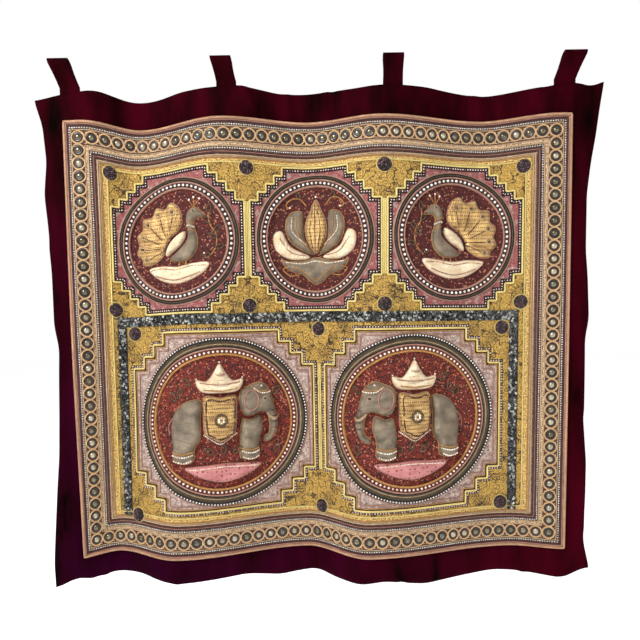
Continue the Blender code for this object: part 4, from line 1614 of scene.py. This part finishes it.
ELEPHANT = (
    Pad("hind", 13, 0, (
        (-42, 44), (-70, 42), (-92, 22), (-100, -10), (-98, -46), (-98, -74), (-78, -80), (-60, -74),
        (-57, -50), (-45, -30), (-44, 8),
    ), hide),
    Pad("fore", 13, 0, (
        (40, 2), (56, 0), (74, 8), (80, -14), (72, -44), (72, -74), (52, -80), (34, -74),
        (34, -46), (34, -24),
    ), hide),
    Pad("head", 14, 0, (
        (34, 44), (40, 62), (56, 70), (76, 76), (94, 64), (102, 42), (108, 16), (112, -12), (102, -38),
        (86, -46), (84, -36), (94, -28), (96, -8), (90, 12), (78, 17), (60, 10), (42, 14),
    ), hide),
    Pad("blanket", 15, 1, (
        (-34, 52), (-4, 48), (26, 52), (28, 22), (24, -22), (12, -30), (-6, -40), (-24, -30), (-36, -22),
        (-38, 16),
    ), cloth_rows),
    Pad("seat", 12, 2, (
        (-40, 62), (-4, 58), (32, 62), (42, 84), (22, 82), (8, 98), (-4, 116), (-16, 98), (-30, 82),
        (-50, 84),
    ), cloth_rows),
    Pad("base", 9, 3, (
        (-76, -88), (-38, -86), (0, -84), (38, -86), (76, -88), (60, -102), (32, -114), (0, -120),
        (-32, -114), (-60, -102),
    ), cloth_rows),
)


@dataclass(frozen=True)
class Stitch:
    """A cord or a row of beads sewn on a figure, by its places from the medallion's middle."""

    thread: Thread
    radius: float
    places: tuple[tuple[float, float], ...]
    closed: bool = False
    beads: bool = False


def loop_at(x: float, y: float, radius: float) -> tuple[tuple[float, float], ...]:
    """The places of a small round loop."""
    turns = [math.tau * step / 8 for step in range(8)]
    return tuple((x + radius * math.cos(turn), y + radius * math.sin(turn)) for turn in turns)


def leaf_at(x: float, y: float, angle: float, length: float) -> tuple[tuple[float, float], ...]:
    """The places of a leaf-shaped loop that points along an angle in degrees."""
    turn = math.radians(angle)
    along_x, along_y = math.cos(turn) * length, math.sin(turn) * length
    shares = ((0, 0), (0.3, 0.22), (0.7, 0.2), (1, 0), (0.7, -0.2), (0.3, -0.22))
    return tuple((x + along_x * a - along_y * b, y + along_y * a + along_x * b) for a, b in shares)


TAIL_EYES = ((-4, 57), (-37, 56), (-63, 40), (-75, 16), (-77, -9), (-67, -31))
PEACOCK_STITCHES = (
    *(Stitch(Thread.BROWN, 0.8, ((-17, -12), (x * 0.9, y * 0.9 - 3))) for x, y in TAIL_EYES),
    *(Stitch(Thread.CREAM, 1.2, loop_at(x, y, 5.5), True) for x, y in TAIL_EYES),
    *(Stitch(Thread.OLIVE, 2.6, ((x, y),), beads=True) for x, y in TAIL_EYES),
    Stitch(Thread.CREAM, 0.9, loop_at(42, 54, 3.2), True),
    Stitch(Thread.BLACK, 1.9, ((42, 54),), beads=True),
    Stitch(Thread.GOLD, 1.0, ((25, 33), (32, 35), (39, 31))),
    Stitch(Thread.CREAM, 1.3, ((26, 26), (33, 27), (40, 23)), beads=True),
    Stitch(Thread.GOLD, 1.0, ((27, 18), (34, 19), (42, 15))),
    *(Stitch(Thread.GOLD, 0.9, ((38, 61), (x * 0.5 + 19, 69), (x, y))) for x, y in ((29, 76), (39, 80), (50, 76))),
    *(Stitch(Thread.CREAM, 2.3, ((x, y),), beads=True) for x, y in ((29, 78), (39, 82), (51, 78))),
    Stitch(Thread.GOLD, 1.6, ((6, -42), (3, -51))),
    Stitch(Thread.GOLD, 1.6, ((20, -41), (22, -50))),
    Stitch(Thread.TAN, 1.3, ((-60, -54), (-32, -52), (0, -57), (32, -52), (60, -51)), beads=True),
    Stitch(Thread.TAN, 1.0, ((-50, -64), (-28, -72), (0, -77), (28, -72), (50, -64))),
    Stitch(Thread.GOLD, 1.1, ((64, -38), (80, -18), (82, 8), (70, 28), (68, 50))),
    *(Stitch(Thread.OLIVE, 1.3, leaf_at(x, y, angle, 17), True) for x, y, angle in (
        (70, -32, 170), (80, -18, 20), (83, 2, 150), (78, 14, 40), (70, 30, 130), (68, 50, 80))),
    Stitch(Thread.CREAM, 2.0, ((58, -28),), beads=True),
)
LOTUS_STITCHES = (
    Stitch(Thread.BROWN, 0.9, ((0, -24), (0, 70))),
    *(Stitch(Thread.BROWN, 0.8, ((6 * way, -20), (13 * way, 20), (5 * way, 58))) for way in (1, -1)),
    *(Stitch(Thread.GOLD, 1.0, ((17 * way, -22), (40 * way, 8), (44 * way, 46))) for way in (1, -1)),
    *(Stitch(Thread.CREAM, 1.3, ((22 * way, -12), (52 * way, 14), (52 * way, 42)), beads=True)
      for way in (1, -1)),
    *(Stitch(Thread.TAN, 1.0, ((22 * way, -34), (56 * way, -27), (79 * way, 0))) for way in (1, -1)),
    Stitch(Thread.CREAM, 1.5, ((-64, -47), (-32, -50), (0, -45), (32, -50), (64, -47)), beads=True),
    Stitch(Thread.GOLD, 1.0, ((-50, -56), (-24, -68), (0, -84), (24, -68), (50, -56))),
    *(Stitch(Thread.GOLD, 1.3, ((20 * way, 66), (34 * way, 80), (52 * way, 78), (62 * way, 66), (54 * way, 60)))
      for way in (1, -1)),
    *(Stitch(Thread.OLIVE, 1.3, leaf_at(34 * way, 80, 90 - 25 * way, 14), True) for way in (1, -1)),
    *(Stitch(Thread.CREAM, 2.2, ((54 * way, 62),), beads=True) for way in (1, -1)),
    Stitch(Thread.CREAM, 2.4, ((0, 84),), beads=True),
    *(Stitch(Thread.GOLD, 1.2, ((36 * way, -72), (56 * way, -74), (70 * way, -62), (60 * way, -56)))
      for way in (1, -1)),
)
ELEPHANT_STITCHES = (
    Stitch(Thread.CREAM, 1.0, loop_at(84, 44, 3.8), True),
    Stitch(Thread.BLACK, 2.1, ((84, 44),), beads=True),
    Stitch(Thread.TAN, 1.5, ((44, 54), (56, 62), (68, 52), (69, 34), (60, 22), (48, 24), (42, 38)), True),
    Stitch(Thread.CREAM, 2.6, ((90, 14), (100, 2), (114, 4))),
    Stitch(Thread.GOLD, 1.2, ((58, 69), (74, 60), (94, 61))),
    Stitch(Thread.CREAM, 1.6, ((62, 65), (76, 56), (97, 57)), beads=True),
    Stitch(Thread.CREAM, 2.4, ((77, 70),), beads=True),
    *(Stitch(Thread.BROWN, 0.8, ((96 + shift, y), (108 + shift, y - 1)))
      for shift, y in ((0, 20), (2, 8), (3, -4), (3, -16))),
    Stitch(Thread.GOLD, 1.4, ((-97, -56), (-78, -59), (-59, -55))),
    Stitch(Thread.CREAM, 1.7, ((-96, -62), (-78, -65), (-61, -61)), beads=True),
    Stitch(Thread.GOLD, 1.4, ((35, -54), (53, -58), (72, -54))),
    Stitch(Thread.CREAM, 1.7, ((36, -60), (53, -64), (71, -60)), beads=True),
    Stitch(Thread.CREAM, 2.0, ((-94, -73), (-78, -77), (-64, -72)), beads=True),
    Stitch(Thread.CREAM, 2.0, ((38, -72), (53, -77), (68, -72)), beads=True),
    Stitch(Thread.TAN, 1.3, ((-96, 12), (-108, -4), (-107, -26))),
    Stitch(Thread.BLACK, 2.4, ((-107, -26), (-106, -33)), beads=True),
    Stitch(Thread.BROWN, 1.3, (
        (-29, 46), (-4, 43), (21, 46), (22, 20), (19, -18), (10, -25), (-6, -33), (-23, -25), (-30, -18),
        (-32, 16)), True),
    Stitch(Thread.CREAM, 1.7, ((-38, -24), (-24, -34), (-6, -44), (12, -34), (27, -24)), beads=True),
    Stitch(Thread.OLIVE, 2.0, loop_at(-5, 6, 11), True),
    Stitch(Thread.CREAM, 2.4, loop_at(-5, 6, 5), True, True),
    Stitch(Thread.GOLD, 1.2, ((-36, 67), (-4, 63), (28, 67))),
    Stitch(Thread.TAN, 1.2, ((-42, 80), (-24, 77), (-4, 76), (16, 77), (34, 80))),
    Stitch(Thread.TAN, 1.1, ((-13, 96), (-4, 94), (5, 96))),
    Stitch(Thread.CREAM, 2.4, ((-4, 119),), beads=True),
    *(Stitch(Thread.CREAM, 2.0, ((x, 87),), beads=True) for x in (-49, 41)),
    Stitch(Thread.CREAM, 1.4, ((-66, -91), (-38, -90), (0, -88), (38, -90), (66, -91)), beads=True),
    *(Stitch(Thread.OLIVE, 1.5, leaf_at(x, y, angle, 20), True) for x, y, angle in (
        (-92, 44, 120), (-86, 50, 70), (-20, -64, 140), (0, -64, 90), (20, -64, 40), (104, 52, 40),
        (112, -50, -100), (-62, 74, 130))),
)


@dataclass(frozen=True)
class Figure:
    """A medallion's padded figure."""

    name: str
    pads: tuple[Pad, ...]
    stitches: tuple[Stitch, ...]
    middle: tuple[float, float]
    mirror: int


FIGURES = (
    Figure("peacock_left", PEACOCK, PEACOCK_STITCHES, (-291, -290), 1),
    Figure("lotus", LOTUS, LOTUS_STITCHES, (-5, -288), 1),
    Figure("peacock_right", PEACOCK, PEACOCK_STITCHES, (284, -287), -1),
    Figure("elephant_left", ELEPHANT, ELEPHANT_STITCHES, (-207, -650), 1),
    Figure("elephant_right", ELEPHANT, ELEPHANT_STITCHES, (197, -648), -1),
)


class Weave(Enum):
    """What a padded piece's cloth carries besides its own threads."""

    PLAIN = 0
    ROWS = 1
    DOTS = 2


@dataclass(frozen=True)
class SatinFinish:
    """Cloth over padding: satin, metal cloth or plain, with its own thread."""

    name: str
    light: Colour
    dark: Colour
    roughness: float
    metallic: float
    weave: float
    figure: Weave = Weave.PLAIN
    repeat: float = 8.0
    mark: Colour = paint(70, 48, 34)

    def make(self) -> bpy.types.Material:
        """Make the material."""
        kit = NodeKit(self.name)
        x, y, place = kit.flat_place()
        sheen_patches = kit.noise(place, 40, 3)
        crumple = kit.noise(place, 75, 2, 0.4)
        threads = (y * (math.tau / self.weave)).sine() * 0.5 + 0.5
        beads = (x * (math.tau / self.weave)).sine() * 0.5 + 0.5
        # The soft patches from dark to light are painted sheen; the weave adds its own light threads.
        share = (sheen_patches.ramp(0.3, 0.7) * 0.6 + threads * beads * 0.5).clamped()
        colour = kit.mix(share, self.dark, self.light)
        colour = kit.mix(self.pattern(kit, x, y, place), colour, self.mark)
        kit.bump(threads * 0.2 + beads * 0.15 + crumple * 0.65, 2.6, 0.7)
        kit.surface(
            Base_Color=colour, Roughness=self.roughness, Metallic=self.metallic, Sheen_Weight=0.2)
        return kit.material

    def pattern(self, kit: NodeKit, x: Value, y: Value, place: bpy.types.NodeSocket) -> Value:
        """Where the cloth carries dark thread: dashed rows, dots, or a few specks.

        Args:
            kit: The material's nodes.
            x: The flat place across.
            y: The flat place up.
            place: The flat place in metres.

        Returns:
            A mask of the dark thread.
        """
        if self.figure is Weave.ROWS:
            row = (y * (math.tau / self.repeat)).sine() > 0.55
            dash = (x * (math.tau / (self.repeat * 0.55)) + (y * (1 / self.repeat)).floor() * 1.7).sine() > -0.2
            return row * dash * 0.8
        if self.figure is Weave.DOTS:
            distance, _, _ = kit.cells(place, 1000 / self.repeat, jitter=0.35)
            return (distance < 0.23) * 0.85
        return kit.noise(place, 240, 2).ramp(0.6, 0.7) * 0.4


SATINS = (
    SatinFinish("olive_satin", paint(158, 140, 114), paint(66, 54, 42), 0.3, 0.2, 1.6),
    SatinFinish("gold_cloth", paint(236, 196, 122), paint(142, 100, 52), 0.4, 0.3, 3.2,
                Weave.ROWS, 7.5, paint(48, 32, 18)),
    SatinFinish("cream_cloth", paint(250, 238, 208), paint(200, 170, 128), 0.5, 0.0, 2.4),
    SatinFinish("pink_cloth", paint(216, 146, 142), paint(166, 90, 88), 0.5, 0.0, 2.4,
                Weave.DOTS, 9.0, paint(110, 26, 26)),
)


def smooth_outline(points: Sequence[tuple[float, float]], steps: int) -> np.ndarray:
    """A closed outline that curves through its points.

    Args:
        points: The outline's own points.
        steps: How many points it gets from one to the next.

    Returns:
        The outline's places.
    """
    base = np.array(points, float)
    before, start, end, after = (np.roll(base, shift, axis=0)[:, None] for shift in (1, 0, -1, -2))
    t = (np.arange(steps) / steps)[None, :, None]
    curve = 0.5 * (
        2 * start + (end - before) * t + (2 * before - 5 * start + 4 * end - after) * t ** 2
        + (3 * start - before - 3 * end + after) * t ** 3)
    return curve.reshape(-1, 2)


@dataclass
class Padding:
    """Makes the padded pieces: filled, domed and quilted."""

    cell: float = 2.4

    def build(self, figure: Figure, pad: Pad, finishes: Sequence[bpy.types.Material]) -> bpy.types.Object:
        """Build one padded piece.

        Args:
            figure: The figure that it belongs to.
            pad: The piece.
            finishes: The satins.

        Returns:
            The padded piece.
        """
        local = smooth_outline(pad.outline, PAD_OUTLINE_STEPS)
        bm = bmesh.new()
        bm.faces.new([bm.verts.new((x, y, 0)) for x, y in local])
        low, high = local.min(axis=0), local.max(axis=0)
        for axis in (0, 1):
            normal = Vector((1, 0, 0)) if axis == 0 else Vector((0, 1, 0))
            for cut in np.arange(low[axis] + self.cell, high[axis], self.cell):
                bmesh.ops.bisect_plane(
                    bm, geom=bm.verts[:] + bm.edges[:] + bm.faces[:], dist=1e-3,
                    plane_co=normal * cut, plane_no=normal)
        made = bmesh.ops.extrude_face_region(bm, geom=bm.faces[:], use_keep_orig=True)["geom"]
        tops = [item for item in made if isinstance(item, bmesh.types.BMVert)]
        bmesh.ops.translate(bm, verts=tops, vec=(0, 0, 1))
        bmesh.ops.recalc_face_normals(bm, faces=bm.faces)
        bmesh.ops.triangulate(bm, faces=bm.faces)
        shape = Shape.read(bm)
        x, y, top = shape.points.T
        lift = PANEL_FACE + top * pad_rise(pad, shape.points[:, :2])
        shape.points = np.column_stack([
            figure.middle[0] + figure.mirror * x, figure.middle[1] + y, lift])
        if figure.mirror < 0:
            shape.corners = shape.corners.reshape(-1, 3)[:, ::-1].ravel()
        shape.uvs = shape.points[shape.corners, :2] * MM
        node = f"{figure.name}_{pad.name}"
        piece = add_piece(f"{node}_pad", shape, [finishes[pad.satin]], [node])
        return piece


PAD_OUTLINE_STEPS = 6
PAD_ROUND_OVER = 13.0


def from_edge(points: np.ndarray, outline: np.ndarray) -> tuple[np.ndarray, np.ndarray]:
    """How far each place is from an outline, and whether it lies inside it."""
    best = np.full(len(points), np.inf)
    inside = np.zeros(len(points), bool)
    for start, end in zip(outline, np.roll(outline, -1, axis=0)):
        run = end - start
        share = np.clip(((points - start) @ run) / max(run @ run, 1e-9), 0, 1)
        best = np.minimum(best, np.linalg.norm(points - start - share[:, None] * run, axis=1))
        spans = (points[:, 1] < start[1]) != (points[:, 1] < end[1])
        rise = run[1] if abs(run[1]) > 1e-9 else 1e-9
        inside ^= spans & (points[:, 0] < start[0] + (points[:, 1] - start[1]) * run[0] / rise)
    return best, inside


def pad_rise(pad: Pad, points: np.ndarray) -> np.ndarray:
    """How high a padded piece stands over the cloth at places inside its outline."""
    distance, _ = from_edge(points, smooth_outline(pad.outline, PAD_OUTLINE_STEPS))
    swell = np.sqrt(np.clip(1 - (1 - np.clip(distance / PAD_ROUND_OVER, 0, 1)) ** 2, 0, 1))
    if pad.quilt:
        swell = swell * pad.quilt(points[:, 0], points[:, 1])
    return 1.0 + (pad.height - 0.4) * swell


BEAD_THREADS = (Thread.CREAM, Thread.TAN, Thread.OLIVE, Thread.BLACK)
FIGURE_BEADS = (
    BeadFinish("cream_seed_beads", paint(250, 238, 220), paint(210, 184, 156), 0.2, 0.0, 0.8),
    BeadFinish("amber_seed_beads", paint(214, 160, 112), paint(120, 70, 44), 0.2, 0.0, 0.8),
    BeadFinish("bronze_seed_beads", paint(120, 96, 66), paint(36, 24, 16), 0.2, 0.4, 0.6),
    BeadFinish("black_seed_beads", paint(30, 24, 24), paint(6, 4, 4), 0.15, 0.0, 0.8),
)


@dataclass
class FigureTrim:
    """The cords round the padded pieces, and the thread and beads sewn on them."""

    outline_radius: float = 1.1
    step: int = 5

    def height(self, figure: Figure, places: np.ndarray) -> np.ndarray:
        """How high the figure's surface lies at each place."""
        top = np.zeros(len(places))
        for pad in figure.pads:
            _, inside = from_edge(places, smooth_outline(pad.outline, PAD_OUTLINE_STEPS))
            top = np.maximum(top, np.where(inside, pad_rise(pad, places), 0))
        return PANEL_FACE + top

    def route(self, figure: Figure, stitch: Stitch) -> np.ndarray:
        """A stitch's route on the flat cloth, over the padding.

        Args:
            figure: The figure.
            stitch: The stitch.

        Returns:
            The route's points.
        """
        places = stitch.places
        if stitch.closed:
            line = smooth_outline(places, self.step)
        else:
            ends = (places[0], *places, places[-1])
            line = smooth_outline(ends, self.step)[self.step:self.step * len(places) + 1]
        height = self.height(figure, line) + stitch.radius * 0.5
        return np.column_stack([line * (figure.mirror, 1) + figure.middle, height])

    def build(self) -> tuple[Shape, Shape]:
        """Build the cords and the beads of all the figures."""
        cords, beads = [], []
        for figure in FIGURES:
            for pad in figure.pads:
                outline = smooth_outline(pad.outline, 4) * (figure.mirror, 1) + figure.middle
                route = np.column_stack([outline, np.full(len(outline), PANEL_FACE + 0.9)])
                thread = Thread.GOLD if pad.satin == 0 else Thread.TAN
                cords.append(cord(route, self.outline_radius, True, False, thread.value))
            for stitch in figure.stitches:
                route = self.route(figure, stitch)
                if stitch.beads:
                    row = along(route, stitch.radius * 2.3, stitch.closed) if len(route) > 1 else route
                    beads.append(bead_shape(stitch.radius, finish=BEAD_THREADS.index(stitch.thread)).copies(row))
                else:
                    cords.append(cord(route, stitch.radius, stitch.closed, False, stitch.thread.value))
        return join(cords), join(beads)


# Stage

def make_stage() -> None:
    """Make the floor, the lights, the world and the camera."""
    bm = bmesh.new()
    bmesh.ops.create_grid(bm, x_segments=1, y_segments=1, size=8)
    bmesh.ops.translate(bm, vec=(0, 0, -1.45), verts=bm.verts)
    mesh = bpy.data.meshes.new("floor")
    bm.to_mesh(mesh)
    bm.free()
    kit = NodeKit("pale_floor")
    kit.surface(Base_Color=(0.9, 0.9, 0.9), Roughness=0.9, Emission_Color=(1.0, 1.0, 1.0), Emission_Strength=0.62)
    mesh.materials.append(kit.material)
    floor = bpy.data.objects.new("floor", mesh)
    bpy.context.scene.collection.objects.link(floor)
    floor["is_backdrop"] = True
    add_light("key_light", (-1.2, -1.5, 0.9), 0.7, 62)
    add_light("fill_light", (1.5, -1.8, -0.2), 1.4, 12)
    add_light("back_light", (0.3, 1.9, 0.8), 1.6, 22)
    make_world()
    make_camera()
    bpy.context.scene.view_settings.view_transform = "Standard"


def add_light(name: str, place: tuple[float, float, float], size: float, power: float) -> None:
    """Add a soft square light that points at the middle of the cloth."""
    data = bpy.data.lights.new(name, "AREA")
    data.size = size
    data.energy = power
    light = bpy.data.objects.new(name, data)
    light.location = place
    light.rotation_euler = (Vector((0, 0, -0.55)) - light.location).to_track_quat("-Z", "Y").to_euler()
    bpy.context.scene.collection.objects.link(light)


def make_world() -> None:
    """Make a pale world: white where it shows, and a softer light on the cloth."""
    world = bpy.data.worlds.new("studio")
    world.use_nodes = True
    tree = world.node_tree
    background = tree.nodes["Background"]
    background.inputs[0].default_value = (1, 1, 1, 1)
    path = tree.nodes.new("ShaderNodeLightPath")
    strength = tree.nodes.new("ShaderNodeMapRange")
    strength.inputs["To Min"].default_value = 0.4
    strength.inputs["To Max"].default_value = 1.0
    tree.links.new(path.outputs["Is Camera Ray"], strength.inputs["Value"])
    tree.links.new(strength.outputs[0], background.inputs[1])
    bpy.context.scene.world = world


def make_camera() -> None:
    """Set the camera at the photograph's viewing angle."""
    data = bpy.data.cameras.new("camera")
    data.lens = 42.6
    camera = bpy.data.objects.new("camera", data)
    pitch, roll = math.radians(3.62), math.radians(0.96)
    turned = Matrix.Rotation(math.pi / 2 - pitch, 4, "X") @ Matrix.Rotation(-roll, 4, "Z")
    camera.matrix_world = Matrix.Translation((-0.001, -1.5, -0.412)) @ turned
    bpy.context.scene.collection.objects.link(camera)
    bpy.context.scene.camera = camera


def corners(box: Any) -> list[list[float]]:
    """A box's two corners as plain lists."""
    return [[float(number) for number in corner] for corner in box]


def main() -> None:
    """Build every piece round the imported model."""
    logging.basicConfig(level=logging.INFO, format="%(name)s: %(message)s")
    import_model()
    cad_box = corners(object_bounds())
    make_stage()
    velvet = VelvetFinish().make()
    threads = [thread.make() for thread in THREADS]
    satins = [satin.make() for satin in SATINS]

    tabs = (
        Tab("tab_1", -507, 39, -16, -8), Tab("tab_2", -182.5, 40, -9, -11),
        Tab("tab_3", 158, 40, 1, -7), Tab("tab_4", 507, 43, 17, -10),
    )
    for tab in tabs:
        tab.build(velvet)
    Ground().build(velvet)
    Panel().build(PanelFinish().make())

    cordwork = Cordwork()
    add_piece("border_cords", cordwork.border(), threads)
    add_piece("frame_cords", cordwork.frames(), threads, [frame.name for frame in FRAMES])
    add_piece("ring_cords", cordwork.rings(), threads)
    figure_cords, figure_beads = FigureTrim().build()
    add_piece("figure_cords", figure_cords, threads)
    add_piece("figure_beads", figure_beads, [finish.make() for finish in FIGURE_BEADS])

    bands = join([RingBand().shape(ring) for ring in RINGS])
    add_piece("ring_bands", bands, [finish.make() for finish in RING_FINISHES],
              [ring.name for ring in RINGS])

    chain = Chain()
    chain_cord = CordFinish("chain_cord", paint(255, 218, 166), paint(190, 138, 90), 5.0).make()
    cup = BeadFinish("dark_cups", paint(44, 24, 14), paint(16, 8, 6), 0.4, 0.1, 0.3).make()
    # The light copies among the silver domes are painted highlights; the darker ones are the domes' own olive-grey.
    dome = BeadFinish("silver_domes", paint(186, 176, 150), paint(92, 82, 58), 0.18, 0.7, 0.6, 0.4).make()
    wedge = BeadFinish("brown_wedges", paint(80, 36, 22), paint(40, 18, 12), 0.6, 0.0, 0.1).make()
    add_piece("chain_cords", chain.weave(), [chain_cord])
    add_piece("chain_sequins", chain.domes(), [cup, dome])
    add_piece("chain_wedges", chain.wedges(), [wedge])

    beadwork = Beadwork()
    white = BeadFinish("white_beads", paint(244, 238, 230), paint(206, 190, 176), 0.2, 0.0, 0.8).make()
    mixed = BeadFinish("mixed_beads", paint(232, 204, 194), paint(120, 84, 80), 0.25, 0.0, 0.6, 0.75).make()
    red = BeadFinish("red_beads", paint(244, 224, 204), paint(196, 150, 130), 0.25, 0.0, 0.6, 0.8).make()
    add_piece("white_beads", beadwork.white(), [white])
    add_piece("frame_beads", beadwork.dashes(), [mixed])
    add_piece("red_beads", beadwork.inner_rings(), [red])

    strip, sequins = SequinBand().build()
    # The silver copies among the black sequins stand for glints: painted highlights.
    black = BeadFinish("black_sequins", paint(196, 196, 188), paint(9, 8, 10), 0.22, 0.3, 0.15, 0.2).make()
    backing = BeadFinish("band_cloth", paint(18, 14, 16), paint(8, 6, 8), 0.7, 0.0, 0.0).make()
    add_piece("sequin_band_cloth", strip, [backing], ["sequin_band"])
    add_piece("band_sequins", sequins, [black])

    domes, clusters = Bosses().build()
    # The light copies among the plum sequins stand for the bosses' bright spots: painted highlights.
    plum = BeadFinish("plum_sequins", paint(120, 84, 90), paint(30, 12, 16), 0.16, 0.4, 0.5, 0.35).make()
    add_piece("boss_domes", domes, [backing], [f"boss_{k + 1}" for k in range(len(BOSSES))])
    add_piece("boss_clusters", clusters, [plum])

    padding = Padding()
    for figure in FIGURES:
        for pad in figure.pads:
            padding.build(figure, pad, satins)

    {"cad": cad_box, "visual": corners(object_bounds())}


if __name__ == "__main__":
    main()
